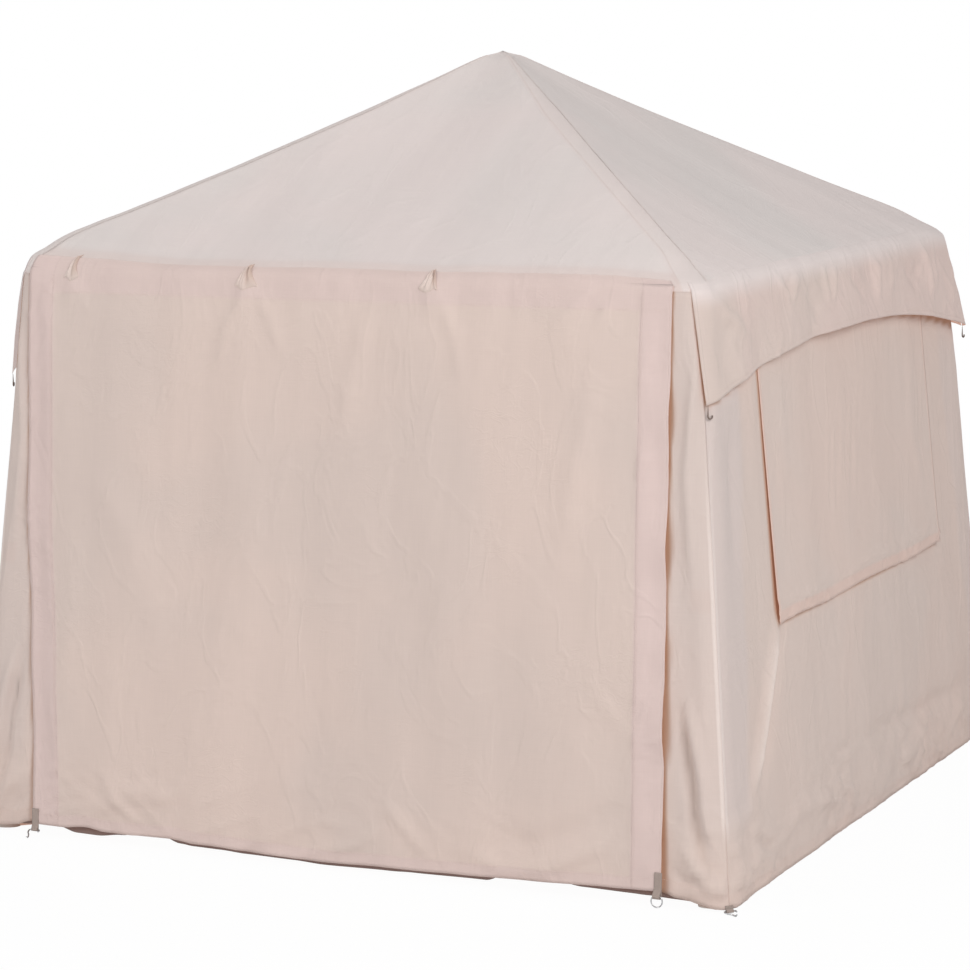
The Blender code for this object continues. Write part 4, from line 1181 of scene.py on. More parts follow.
def wall_relief(side, run, height):
    """How far a wall's face stands proud of its plain plane."""
    along = unrolled(run, height)
    seed = 40 + int(SIDES[side])
    covered = near(height, EAVE_HEIGHT, 0.24)
    across = np.abs(along) if side == "front" else along
    if side == "front":
        covered = np.maximum(covered, curtain_cover(along, height, 0.04))
        covered = np.maximum(covered, wrap_cover(run, height, 0.2))
    else:
        behind_flap = ease((FLAP_HALF + 0.01 - np.abs(along)) / 0.03)
        behind_flap = behind_flap * ease((height - FLAP_BOTTOM + 0.02) / 0.04)
        covered = np.maximum(covered, behind_flap)
        covered = np.maximum(covered, under_valance(along, height, 0.03))
    low = near(height, 0.05, 0.45)
    wrinkles = (
        (0.014 * low, 0.35, 0.05, 0.12, seed + 1),
        (0.012 * low, 0.16, 0.04, -0.5, seed + 2),
        (0.01 * low, 0.2, 0.045, 0.6, seed + 5),
        (0.004, 0.5, 0.07, 1.45, seed + 3),
    )
    relief = CREASE_DEPTH * crease_field(across, height, WALL_CREASES[side])
    relief = relief + 0.005 * wander(along, height, 0.45, 0.7, seed)
    relief = relief + crumples(along, height, wrinkles)
    relief = relief * (1.0 - 0.7 * ease((HEM_HEIGHT + 0.035 - height) / 0.03))
    relief = np.maximum(relief, -room_behind(along, height))
    turn = (np.abs(run) - BASE_FLAT) / CORNER_RADIUS - math.pi / 4
    joined = ease((turn + 0.24) / 0.2)
    seam = 0.0045 * np.exp(-((turn / 0.12) ** 2)) * pulled_tight(height)
    return relief * (1.0 - covered) * (1.0 - joined) * shape().wrinkle + seam


def wall_hem(side, along, height):
    """Height of a wall's hem, which follows the ground and its pegged corners."""
    if side == "front":
        return by_hand(along, np.abs(along), RIGHT_STRIP_HEM, LEFT_STRIP_HEM)
    flat = face_half(height)
    dip = CORNER_HEM_DIP * ease((np.abs(along) - flat + 0.16) / 0.18)
    wave = 0.0018 * wander(along, 0.0 * along, 0.3, 1.0, 90 + int(SIDES[side]))
    return HEM_HEIGHT - dip + wave * ease((flat - np.abs(along)) / 0.2)


def wall_place(side, run, height, lift=0.0):
    out = wall_relief(side, run, height) + lift
    along = unrolled(run, height)
    reach = 0.28
    if side == "front":
        sill = DOOR_SILL - HEM_HEIGHT
        reach = sill + (reach - sill) * ease((np.abs(along) - 0.98) / 0.12)
    points = shell_point(run, height, out)
    low = ease(1.0 - (height - HEM_HEIGHT) / reach)
    points[..., 2] += (wall_hem(side, along, height) - HEM_HEIGHT) * low
    return turned(points, SIDES[side])


def under_valance(along, height, reach=0.01):
    """1 where a valance covers a side's cloth, and a little below its arched edge."""
    hem = HINGE_HEIGHT - valance_depth(np.minimum(np.abs(along) / EAVE_HALF, 1.0))
    return ease((height - hem + reach) / reach)


def warm_places(side, run, height):
    """Where the light that comes through the cloth glows warm, between two sheets."""
    along = unrolled(run, height)
    if side == "front":
        gap = by_hand(along, height, CURTAIN_RIGHT_EDGE, CURTAIN_LEFT_EDGE)
        # Painted shade: the warm mark also darkens the valley of the strip's deep fold.
        fold = -crease_field(along, height, STRIP_CREASES[:1]) / 0.008
        warm = np.maximum(curtain_cover(along, height, 0.006 + gap), 0.2 * np.clip(fold, 0, 1))
        return np.maximum(warm, wrap_cover(run, height, 0.05))
    flap = ease((FLAP_HALF + 0.012 - np.abs(along)) / 0.012)
    flap = flap * ease((height - FLAP_BOTTOM + 0.01) / 0.01) * ease((FLAP_TOP - height) / 0.01)
    return np.maximum(flap, under_valance(along, height))


def over_leg(along, height):
    """1 where a wall's cloth is stretched over an air leg."""
    edge = through(height, LEG_EDGE)
    return ease((np.abs(along) - edge + 0.01) / 0.05) * ease((height - 0.18) / 0.15)


def wall_opening(side):
    """Half width, lowest and highest edge of the doorway or window."""
    if side == "front":
        return DOOR_HALF, DOOR_SILL, DOOR_TOP
    return WINDOW_HALF, WINDOW_BOTTOM, WINDOW_TOP


def build_walls():
    """Four walls round the corner beams, each with its doorway or window."""
    corner = BASE_FLAT + CORNER_RADIUS * (math.pi / 4 - 0.004)
    top = EAVE_HEIGHT - ROOF_LIP - 0.0003
    for side in SIDES:
        half, low, high = wall_opening(side)
        step = shape().wall_step
        right = stops(0.0, half, STRAIGHT_HALF, BASE_FLAT, step=step)
        right = np.concatenate([right, stops(BASE_FLAT, corner, step=0.0045)[1:]])
        u, v = np.meshgrid(both_ways(right), stops(HEM_HEIGHT, low, high, top, step=step))
        middle_u, middle_v = (u[:-1, :-1] + u[1:, 1:]) / 2, (v[:-1, :-1] + v[1:, 1:]) / 2
        holes = (np.abs(middle_u) < half) & (middle_v > low) & (middle_v < high)
        along = unrolled(u, v)
        from_opening = np.maximum(np.abs(u) - half, np.maximum(low - v, v - high))
        hem = ease((WALL_HEM - (v - HEM_HEIGHT)) / 0.002)
        rim = ease((OPENING_HEM - from_opening) / 0.002)
        # Painted shade: the leg tie's band behind the front strip, marked to show through darker.
        tie = ease((0.062 - np.abs(np.abs(along) - (wall_offset(v) - 0.035))) / 0.015)
        tie = tie * ease((LEG_TIE_WIDTH / 2 + 0.006 - np.abs(v - LEG_TIE_HEIGHT)) / 0.008)
        # Painted highlight: the corner seam's ridge and the tight creases' crests are painted paler.
        pale = ease((0.013 - (corner - np.abs(u))) / 0.006) * pulled_tight(v)
        pale = pale * ease((v - 0.2) / 0.1)
        for crease in TIGHT_CREASES[side]:
            crest = crease_field(along, v, (crease,)) / crease[2]
            pale = np.maximum(pale, crest**3)
        # Painted sky tint: a bluish light on the cloth over the air legs, stronger at one end of the side walls.
        cool = 0.18 if side == "front" else np.where(along < 0, 0.5, 0.25)
        marks = {
            "seam": seam_distance(
                np.abs(v - HEM_HEIGHT - WALL_HEM + SEAM_INSET),
                np.abs(from_opening - OPENING_HEM + SEAM_INSET),
            ),
            "doubled": np.maximum(0.25 * hem, 0.8 * rim),
            "behind": 0.5 * tie if side == "front" else 0.0 * tie,
            "warm": warm_places(side, u, v),
            "pale": pale,
            "cool": over_leg(along, v) * cool,
        }
        name = side + "_wall_cloth"
        points, place = wall_place(side, u, v), np.stack([along, v], -1)
        piece = cloth_piece(name, points, place, marks, "wall", holes=holes)
        line = stops(-corner, corner, step=0.012)
        hem_line = np.full_like(line, HEM_HEIGHT + WALL_HEM - SEAM_INSET)
        sew(name, wall_place(side, line, hem_line, THREAD_LIFT))
        rim = OPENING_HEM - SEAM_INSET
        sewn, bottom, over = half + rim, low - rim, high + rim
        ends = [(-sewn, bottom), (sewn, bottom), (sewn, over), (-sewn, over), (-sewn, bottom)]
        share = np.linspace(0.0, 1.0, 90)
        for first, last in list(zip(ends, ends[1:]))[1 if side == "front" else 0 :]:
            path_u, path_v = [a + (b - a) * share for a, b in zip(first, last)]
            sew(name, wall_place(side, path_u, path_v, THREAD_LIFT))
        fit(piece, side + "_wall", "tent_cloth")
        tall = top - HEM_HEIGHT
        below, above = [float(unrolled(corner, level)) for level in (0.0, top)]
        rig.sheet(
            piece,
            flat=(2 * below, tall),
            area=(below + above) * tall - 2 * half * (high - low),
            held="hung",
            rests_on=["roof_cloth", "eave_air_sleeve"],
        )


def build_window_meshes():
    """Insect mesh behind each window, with a taped rim."""
    half, low, high = WINDOW_HALF + MESH_LAP, WINDOW_BOTTOM - MESH_LAP, WINDOW_TOP + MESH_LAP
    u, v = np.meshgrid(stops(-half, half, step=0.03), stops(low, high, step=0.03))
    for side in ("right", "rear", "left"):
        seed = 60 + int(SIDES[side])
        belly = np.cos(u / half * math.pi / 2) * np.sin((v - low) / (high - low) * math.pi)
        out = -FRAME_CLOTH - 0.001 - np.abs(belly) * (0.004 + 0.003 * wander(u, v, 0.3, 0.3, seed))
        points = turned(shell_point(u, v, out), SIDES[side])
        rim = np.maximum(np.abs(u) - half, np.maximum(low - v, v - high)) > -MESH_LAP
        name, place = side + "_insect_mesh", np.stack([u, v], -1)
        piece = cloth_piece(name, points, place, {"doubled": rim}, "mesh", MESH_CLOTH)
        fit(piece, side + "_window_mesh", "insect_mesh")
        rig.sheet(
            piece,
            flat=(2 * half, high - low),
            held="stretched",
            rests_on=[side + "_wall_cloth"],
        )


# Curtain, flaps and valances

LAP_PLAY = 0.0012  # how far a lapped sheet stands off the cloth under it
LAP_SUNK = -0.0006  # its end, drawn into the seam
CURTAIN_LEAST = -0.0006
CURTAIN_INSIDE = CURTAIN_HALF - BAND_WIDTH
CURTAIN_STITCHES = (CURTAIN_INSIDE + 0.004, CURTAIN_HALF - 0.006)
CURTAIN_BEND = ("curtain", 0.0, HINGE_HEIGHT)


def curtain_hem(along):
    """The curtain's hem sags between its two pegged corners."""
    return through(along, CURTAIN_HEM_LINE)


def lap_lift(up):
    """How far a sheet's upper end stands off the roof, up to the seam that it is sewn in."""
    marks = ((0.0, LAP_PLAY), (0.022, LAP_PLAY), (0.026, 0.0017), (EAVE_LAP, LAP_SUNK))
    return through(up, marks)


def curtain_place(along, share, lift=0.0):
    """Points of the curtain, whose share runs from 0 at its hinge line to 1 at its hem.

    A share below 0 is the distance in metres up the roll of the eave.
    """
    size = np.abs(along)
    down = np.clip(share, 0.0, 1.0)
    height = HINGE_HEIGHT + (curtain_hem(along) - HINGE_HEIGHT) * down
    off_band = ease((CURTAIN_INSIDE - size) / 0.16)
    stand = 0.016 * ease((HINGE_HEIGHT - height) / 0.2)
    waves = 0.55 * np.sin(8.1 * along + 0.6) + 0.45 * np.sin(14.3 * along + 2.1 * down)
    fold = 0.0045 * waves * off_band * ease(down * 1.2)
    fold = fold + 1.25 * crease_field(along, height, CURTAIN_CREASES) * (0.25 + 0.75 * off_band)
    fold = fold + 0.0045 * wander(along, height, 0.23, 0.9, 71) * off_band * ease(down * 1.6)
    fold = fold + 0.0022 * wander(along, height, 0.09, 0.45, 72) * off_band * ease(down * 2.0)
    low, top = near(height, 0.02, 0.42), near(height, HINGE_HEIGHT, 0.3)
    wrinkles = (
        (0.006 * low, 0.22, 0.05, 0.35, 73),
        (0.005 * low, 0.18, 0.04, -0.6, 74),
        (0.0045 * top, 0.16, 0.045, 1.2, 75),
        (0.0035 * top, 0.14, 0.04, -1.2, 76),
        (0.0016, 0.5, 0.06, 1.35, 77),
    )
    fold = fold + crumples(along, height, wrinkles)
    pinch = sum(near(along, tie, 0.05) for tie in shape_ties())
    fold = fold + 0.008 * pinch * near(height, HINGE_HEIGHT - 0.06, 0.09)
    middle = np.maximum(stand + fold * shape().wrinkle, CURTAIN_LEAST)
    hand = np.sign(along)
    shift = (curtain_line(along, height) - CURTAIN_HALF) * ease((size - 0.55) / 0.42)
    edge = ease((size - CURTAIN_HALF + 0.09) / 0.06)
    at_edge = by_hand(along, height, CURTAIN_RIGHT_EDGE, CURTAIN_LEFT_EDGE)
    on_band = ease((size - CURTAIN_INSIDE + 0.004) / 0.006) * ease((HINGE_HEIGHT - height) / 0.05)
    on_band = on_band * ease((height - curtain_hem(along)) / 0.03)
    pucker = crumple(along + 3.0 * (along > 0), height, 0.09, 0.022, 0.25, 78)
    pucker = 0.001 + 0.0042 * pucker + 0.0016 * wander(along, height, 0.05, 0.06, 80)
    below = ease((HINGE_HEIGHT - height) / 0.03)
    out = lap_lift(0.0) * (1.0 - below) + (HINGE_GAP + FRAME_CLOTH) * below
    out = out + (middle * (1.0 - edge) + at_edge * edge + pucker * on_band) * below + lift
    hem_roll = 0.0012 * ease((share - 0.985) / 0.015)
    x = along + hand * shift
    x = x + 0.0015 * edge * wander(height, 0.0 * height, 0.16, 1.0, 79) * ease(down * 4)
    flat = wall_offset(height) - rolled_in(height) - CORNER_RADIUS
    over = np.clip(np.abs(x) - flat, 0.0, CORNER_REACH)
    face = flat + np.sqrt(CORNER_RADIUS**2 - over**2)
    hanging = np.stack([x, -face - out - hem_roll, height], -1)
    up = np.maximum(-share, 0.0)
    value = hand * np.minimum(np.abs(x) / flat, 1.0)
    angle = np.arcsin(over / CORNER_RADIUS)
    lapped = eave_place("front", value, angle, up, lap_lift(up) + lift)
    return np.where((share < 0)[..., None], lapped, hanging)


def shape_ties():
    """The middles of the three ties, read from the frame's own straps."""
    boxes = [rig.box(f"roll_tie_{number}") for number in (1, 2, 3)]
    return [(low.x + high.x) / 2 for low, high in boxes]


def build_curtain():
    """The front curtain, with its header, side bands and hem."""
    step = shape().curtain_step
    marks = (CURTAIN_INSIDE - 0.004, CURTAIN_INSIDE + 0.004, CURTAIN_HALF)
    share = stops(0.0, 0.04, 0.97, 1.0, step=step / 1.83)
    share = np.concatenate([stops(-EAVE_LAP, -0.02, 0.0, step=0.0025)[:-1], share])
    u, s = np.meshgrid(both_ways(stops(0.0, *marks, step=step)), share[::-1])
    height = HINGE_HEIGHT + np.where(s < 0, -s, (curtain_hem(u) - HINGE_HEIGHT) * s)
    from_hem = height - curtain_hem(u)
    from_top = HINGE_HEIGHT - height
    band = ease((np.abs(u) - CURTAIN_INSIDE) / 0.003)
    header = ease((HEADER_DEPTH - from_top) / 0.003)
    hem = ease((CURTAIN_HEM - from_hem) / 0.003)
    lines = [np.abs(np.abs(u) - line) for line in CURTAIN_STITCHES]
    lines += [np.abs(from_top - HEADER_DEPTH), np.abs(from_hem - CURTAIN_HEM + SEAM_INSET)]
    marks = {
        "seam": seam_distance(*lines),
        "doubled": np.maximum(np.maximum(band, 0.75 * header), 0.75 * hem),
        # Painted highlight: a thin paler line along the lapped eave seam.
        "pale": 0.25 * near(-s, 0.026, 0.006),
    }
    name = "curtain_cloth"
    piece = cloth_piece(name, curtain_place(u, s), np.stack([u, height], -1), marks, "curtain")
    drop = np.linspace(0.01, 0.995, 260)
    for hand in (-1, 1):
        for line in (*CURTAIN_STITCHES, CURTAIN_INSIDE + 0.01):
            sew(name, curtain_place(np.full_like(drop, hand * line), drop, THREAD_LIFT))
    across = np.linspace(-CURTAIN_HALF + 0.006, CURTAIN_HALF - 0.006, 300)
    length = HINGE_HEIGHT - curtain_hem(across)
    for depth in (HEADER_DEPTH, length - CURTAIN_HEM + SEAM_INSET):
        sew(name, curtain_place(across, depth / length, THREAD_LIFT))
    fit(piece, "front_curtain", "curtain_cloth", *CURTAIN_BEND)
    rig.sheet(
        piece,
        flat=(2 * CURTAIN_HALF, HINGE_HEIGHT + EAVE_LAP - 0.04),
        held="hung",
        rests_on=["front_wall_cloth", "roof_cloth"],
    )


def bend_with(piece, body, degrees, hinge_height, reach=0.03):
    """The cloth bends between the shell and its own body, over a short run under its hinge."""
    out = -wall_offset(hinge_height) - 0.004
    start = turned(np.array([0.0, out, hinge_height + 0.002]), degrees)
    end = turned(np.array([0.0, out, hinge_height - reach]), degrees)
    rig.blend(piece, "root", body, start=tuple(start), end=tuple(end))


def flap_bend(side):
    return side + "_flap", SIDES[side], FLAP_TOP


def valance_bend(side):
    return side + "_valance", SIDES[side], HINGE_HEIGHT, 0.02


def flap_place(side, across, share, lift=0.0):
    """Points of a window flap, as a share across from -1 to 1 and down from 0 to 1."""
    height = FLAP_TOP + (FLAP_BOTTOM - FLAP_TOP) * share
    along = across * FLAP_HALF
    seed = 100 + int(SIDES[side])
    edge = ease((np.abs(across) - 0.86) / 0.14)
    waves = 0.002 * np.sin(9.0 * across + 0.7) * ease(share * 1.5)
    out = 0.011 * share**1.2 * (1.0 + 0.25 * edge) + waves * share
    hem = near(height, FLAP_BOTTOM + 0.02, 0.07)
    wrinkles = (
        (0.005 * (1.0 - edge), 0.3, 0.05, 1.3, seed + 1),
        (0.006 * hem, 0.07, 0.02, 0.3, seed + 2),
        (0.0045 * hem, 0.05, 0.016, -0.7, seed + 3),
    )
    relief = 1.5 * crease_field(along, height, FLAP_CREASES)
    relief = relief + 0.005 * wander(along, height, 0.3, 0.5, seed) * (1.0 - edge)
    relief = relief + crumples(along, height, wrinkles)
    relief = relief * (1.0 - 0.85 * under_valance(along, height, 0.03))
    out = HINGE_GAP + FRAME_CLOTH + out + relief * ease(share * 3) * shape().wrinkle + lift
    out = np.maximum(out, HINGE_GAP + 0.0012)
    droop = 0.004 * np.sin(7.0 * across + 1.0) * ease((share - 0.9) / 0.1)
    points = np.stack([along, -wall_offset(height) - out, height + droop], -1)
    return turned(points, SIDES[side])


def build_flaps():
    """Window flaps with a deep hem, which hang from under the valances."""
    length = FLAP_TOP - FLAP_BOTTOM
    side_hem = 1.0 - FLAP_SIDE_HEM / FLAP_HALF
    across = stops(-1.0, -side_hem, side_hem, 1.0, step=0.016)
    share = stops(0.0, 1.0 - FLAP_HEM / length, 1.0, step=0.0135)
    c, s = np.meshgrid(across, share[::-1])
    u, v = c * FLAP_HALF, FLAP_TOP - s * length
    gaps = ((1.0 - np.abs(c)) * FLAP_HALF, FLAP_SIDE_HEM), ((1.0 - s) * length, FLAP_HEM)
    marks = {
        "seam": seam_distance(*[np.abs(gap - hem + SEAM_INSET) for gap, hem in gaps]),
        "doubled": np.maximum(*[ease((hem - gap) / 0.002) for gap, hem in gaps]),
        # Painted shade just under the valance's arched edge.
        "warm": under_valance(u, v),
    }
    down = np.linspace(0.02, 0.995, 110)
    sewn = 1.0 - (FLAP_SIDE_HEM - SEAM_INSET) / FLAP_HALF
    level = np.linspace(-sewn, sewn, 160)
    hem_share = np.full_like(level, 1.0 - (FLAP_HEM - SEAM_INSET) / length)
    for side in VALANCE_FLARES:
        name = side + "_flap_cloth"
        piece = cloth_piece(name, flap_place(side, c, s), np.stack([u, v], -1), marks, "flap")
        for hand in (-1, 1):
            sew(name, flap_place(side, np.full_like(down, hand * sewn), down, THREAD_LIFT))
        sew(name, flap_place(side, level, hem_share, THREAD_LIFT))
        fit(piece, side + "_window_flap", "flap_cloth", *flap_bend(side))
        rests_on = [side + "_wall_cloth"]
        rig.sheet(piece, flat=(2 * FLAP_HALF, length), held="hung", rests_on=rests_on)


VALANCE_DEPTH = 0.23
VALANCE_END_DEPTH = 0.355
VALANCE_FOLD = 0.004
VALANCE_CORNER_EASE = 0.0008
VALANCE_END_GAP = 0.002
VALANCE_RIGHT_WRAP = math.radians(20.0)
VALANCE_LEFT_WRAP = math.radians(7.0)
VALANCE_LEFT_BACK = math.radians(21.0)
CORNER_SHARE = CORNER_RADIUS / EAVE_HALF


def valance_depth(across):
    """Depth of the arched valance at a share across, from -1 to 1."""
    return VALANCE_DEPTH + (VALANCE_END_DEPTH - VALANCE_DEPTH) * np.abs(across) ** 2.3


def valance_end(side, across, down):
    """Angle round the corner at which a valance ends."""
    last = math.pi / 4 - VALANCE_END_GAP / CORNER_RADIUS + 0.0 * down
    if side == "right":
        last = np.where(across < 0, math.pi / 4 + VALANCE_RIGHT_WRAP * (1.0 - down), last)
    if side == "left":
        fall = (VALANCE_LEFT_BACK + VALANCE_LEFT_WRAP) * (1.0 - down) ** 2
        last = np.where(across > 0, math.pi / 4 - VALANCE_LEFT_BACK + fall, last)
    return last


def valance_flare(side, across, down):
    """How far a valance swings out, with its long folds."""
    low, middle, high = VALANCE_FLARES[side]
    flare = (middle + (np.where(across < 0, low, high) - middle) * across**2) * down
    return flare + VALANCE_FOLD * np.sin(11.0 * across + 1.3) * (1.0 - across**4) * down


def valance_place(side, across, share, lift=0.0):
    """Points of a valance, where across runs from -1 to 1 and its last parts round the corners.

    A share below 0 is the distance in metres up the roll of the eave.
    """
    seed = 130 + int(SIDES[side])
    size = np.abs(across)
    hand = np.sign(across)
    straight = np.clip(size / (1.0 - CORNER_SHARE), 0.0, 1.0)
    down = np.clip(share, 0.0, 1.0)
    drop = CORNER_DROP * straight**12 * (1.0 - down) ** 2
    height = HINGE_HEIGHT - valance_depth(across) * down - drop
    along = across * EAVE_HALF
    wrinkles = (
        (0.007, 0.2, 0.08, 0.75, seed + 1),
        (0.006, 0.2, 0.08, -0.9, seed + 2),
    )
    relief = 1.6 * crease_field(along, height, VALANCE_CREASES)
    relief = relief + 0.01 * wander(along, height, 0.15, 0.16, seed)
    relief = relief + crumples(along, height, wrinkles)
    relief = relief * ease(down * 3.0) * (1.0 - 0.55 * ease((size - 0.93) / 0.07))
    below = ease(down * 8.0)
    out = lap_lift(0.0) * (1.0 - below) + (HINGE_GAP + FRAME_CLOTH) * below
    over_flap = ease((FLAP_HALF + 0.03 - np.abs(along)) / 0.03)
    over_flap = over_flap * ease((FLAP_TOP + 0.02 - height) / 0.03)
    least = -0.0004 * below + 0.0045 * over_flap
    swing = valance_flare(side, across, down) + relief * shape().wrinkle
    out = out + np.maximum(swing, least) + lift - rolled_in(height + drop)
    turn = np.clip((size - (1.0 - CORNER_SHARE)) / CORNER_SHARE, 0.0, 1.0)
    angle = turn * valance_end(side, across, down)
    reach = CORNER_RADIUS + VALANCE_CORNER_EASE * (turn > 0) + out
    x = hand * (straight * face_half(height) + reach * np.sin(angle))
    y = -(face_half(height) + reach * np.cos(angle))
    hanging = turned(np.stack([x, y, height], -1), SIDES[side])
    up = np.maximum(-share, 0.0)
    lapped = eave_place(side, hand * straight, angle, up, valance_lap_lift(up) + lift)
    return np.where((share < 0)[..., None], lapped, hanging)


def valance_lap_lift(up):
    """A valance runs on into the roof with no seam that shows."""
    return through(up, ((0.0, LAP_PLAY), (EAVE_LAP * 0.6, 0.001), (EAVE_LAP, LAP_SUNK)))


def build_valances():
    """Arched valances, which run round the corners of the eave at both ends."""
    bend = 1.0 - CORNER_SHARE
    across = stops(-1.0, -bend, bend, 1.0, step=0.0095)
    across = np.unique(np.concatenate([across, stops(bend, 1.0, step=0.006)]))
    across = np.unique(np.concatenate([across, stops(-1.0, -bend, step=0.006)]))
    share = (stops(-EAVE_LAP, 0.0, step=0.004)[:-1], stops(0.0, 0.05, 0.92, 1.0, step=0.03))
    c, s = np.meshgrid(across, np.concatenate(share)[::-1])
    depth = valance_depth(c)
    from_hem = depth * (1.0 - np.maximum(s, 0.0))
    from_end = (1.0 - np.abs(c)) * EAVE_HALF
    hung = np.where(s < 0, s, depth * s)
    level = np.linspace(-0.995, 0.995, 260)
    hem_share = 1.0 - (VALANCE_HEM - SEAM_INSET) / valance_depth(level)
    mean = VALANCE_DEPTH + (VALANCE_END_DEPTH - VALANCE_DEPTH) / 3.3
    for side in VALANCE_FLARES:
        hem_line = np.abs(from_hem - VALANCE_HEM + SEAM_INSET)
        marks = {
            "seam": seam_distance(hem_line, np.abs(from_end - 0.01)),
            "doubled": 1.0 - ease(hung / 0.075),
            # Painted sky tint: the left valance's front end is painted greyer, and its glow greyer too.
            "cool": ease((c - 0.7) / 0.1) * (side == "left"),
        }
        name = side + "_valance_cloth"
        place = np.stack([c * EAVE_HALF, HINGE_HEIGHT - hung], -1)
        piece = cloth_piece(name, valance_place(side, c, s), place, marks, "valance")
        sew(name, valance_place(side, level, hem_share, THREAD_LIFT))
        fit(piece, side + "_valance", "valance_cloth", *valance_bend(side))
        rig.sheet(
            piece,
            flat=(2 * EAVE_HALF, VALANCE_END_DEPTH + EAVE_LAP),
            area=2 * EAVE_HALF * (mean + EAVE_LAP),
            held="hung",
            rests_on=["roof_cloth"],
        )


def build_groundsheet():
    """The dark groundsheet, whose edges rise to the hem, and its strip across the doorway."""
    quarter, kind, value = round_columns(0.03, 6)
    rim = wall_offset(HEM_HEIGHT) - 0.004
    halves = np.concatenate([[rim, rim - 0.001], stops(rim - 0.004, rim - 0.1, 0.0, step=0.03)])
    grid = np.ones((len(halves), 1))
    q, k, v = quarter * grid, kind * grid, value * grid
    half = halves[:, None] * np.ones_like(v)
    spun, edge = round_square(q, k, v, half, np.minimum(CORNER_RADIUS, half))
    inward = rim - half
    at_front = (q == 0) & (k == 0)
    side_rim = HEM_HEIGHT + 0.003 - CORNER_HEM_DIP * ease((edge - 0.87) / 0.13)
    lift = np.where(at_front, through(spun[..., 0], GROUND_RIM_LINE), side_rim)
    lift = np.where((k == 1) & ((q == 0) | (q == 3)), GROUND_RIM_LINE[-1][1], lift)
    lift = lift * (1.0 - ease(inward / np.where(at_front, 0.16, 0.09)))
    rough = 0.0012 * (wander(spun[..., 0], spun[..., 1], 0.22, 0.22, 81) + 1.0)
    rough = rough * ease(inward / 0.1)
    points = np.concatenate([spun, (0.0016 + lift + rough)[..., None]], -1)
    marks = {"seam": seam_distance(np.abs(inward - 0.03))}
    piece = cloth_piece(
        "ground_cloth", points, spun, marks, "groundsheet", THIN_CLOTH, wrapped=True
    )
    fit(piece, "groundsheet", "groundsheet_cloth")
    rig.sheet(piece, flat=(BASE_SIDE, BASE_SIDE), held="laid", rests_on=["studio_floor"])
    u, part = np.meshgrid(stops(-1.2, 1.2, step=0.01), np.linspace(0.0, 1.0, 6))
    low = through(u, GROUND_RIM_LINE) + 0.001
    z = low + (0.076 - low) * part
    ripple = 0.0012 * wander(u, z, 0.11, 0.08, 82) + 0.0016
    ripple = ripple - 0.005 * ease((np.abs(u) - 1.06) / 0.03)
    marks = {"seam": seam_distance(np.abs(z - 0.07))}
    points, place = shell_point(u, z, ripple), np.stack([u, z], -1)
    sill = cloth_piece("door_sill", points, place, marks, "groundsheet", THIN_CLOTH)
    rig.ride(sill, "root")
    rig.slot(sill, "groundsheet_cloth")
    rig.sheet(sill, flat=(2.4, 0.048), held="hung", rests_on=["front_wall_cloth", "ground_cloth"])


# Geometry node trees


class PathNet(Net):
    """A geometry tree that works along lines, with its inputs' identifiers by name."""

    def __init__(self, name, inputs):
        tree = bpy.data.node_groups.new(name, "GeometryNodeTree")
        tree.is_modifier = True
        super().__init__(tree, "GeometryNode")
        kinds = {"Geometry": "Geometry", **inputs}
        self.keys = {}
        for label, kind in kinds.items():
            socket = tree.interface.new_socket(
                label, in_out="INPUT", socket_type="NodeSocket" + kind
            )
            self.keys[label] = socket.identifier
        tree.interface.new_socket("Geometry", in_out="OUTPUT", socket_type="NodeSocketGeometry")
        self.start, self.end = self.add("NodeGroupInput").outputs, self.add("NodeGroupOutput")

    def evenly(self, spacing):
        """The lines that come in, as curves with evenly spaced points."""
        curve = self.step("MeshToCurve", {"Mesh": self.start["Geometry"]})
        inputs = {"Curve": curve, "Length": self.start[spacing]}
        return self.step("ResampleCurve", inputs, mode="LENGTH")

    def close(self, geometry):
        """Ends the tree in plain faces with the asked-for material."""
        smooth = self.step("SetShadeSmooth", {"Geometry": geometry})
        plain = self.step("RealizeInstances", {"Geometry": smooth})
        inputs = {"Geometry": plain, "Material": self.start["Material"]}
        self.put(self.end, 0, self.step("SetMaterial", inputs))

    def run(self, piece, values):
        """Runs the tree on a piece with its inputs set, and keeps the result as a mesh."""
        modifier = piece.modifiers.new(self.tree.name, "NODES")
        modifier.node_group = self.tree
        for label, value in values.items():
            modifier[self.keys[label]] = value
        return applied(piece)


def stitch_net():
    """Lays small raised stitches along every line, one pitch apart."""
    lengths = dict.fromkeys(("Stitch Pitch", "Stitch Length", "Thread Radius"), "Float")
    net = PathNet("stitch_run", {**lengths, "Material": "Material"})
    spaced = net.evenly("Stitch Pitch")
    tangent = net.step("InputTangent")
    turn = net.step("FunctionNodeAlignRotationToVector", {"Vector": tangent}, axis="X")
    bead = net.step("MeshIcoSphere", {"Radius": 1.0, "Subdivisions": 1})
    half = net.math("MULTIPLY", net.start["Stitch Length"], 0.5)
    thread = net.start["Thread Radius"]
    size = net.step("ShaderNodeCombineXYZ", {"X": half, "Y": thread, "Z": thread})
    inputs = {"Points": spaced, "Instance": bead, "Rotation": turn, "Scale": size}
    net.close(net.step("InstanceOnPoints", inputs))
    return net


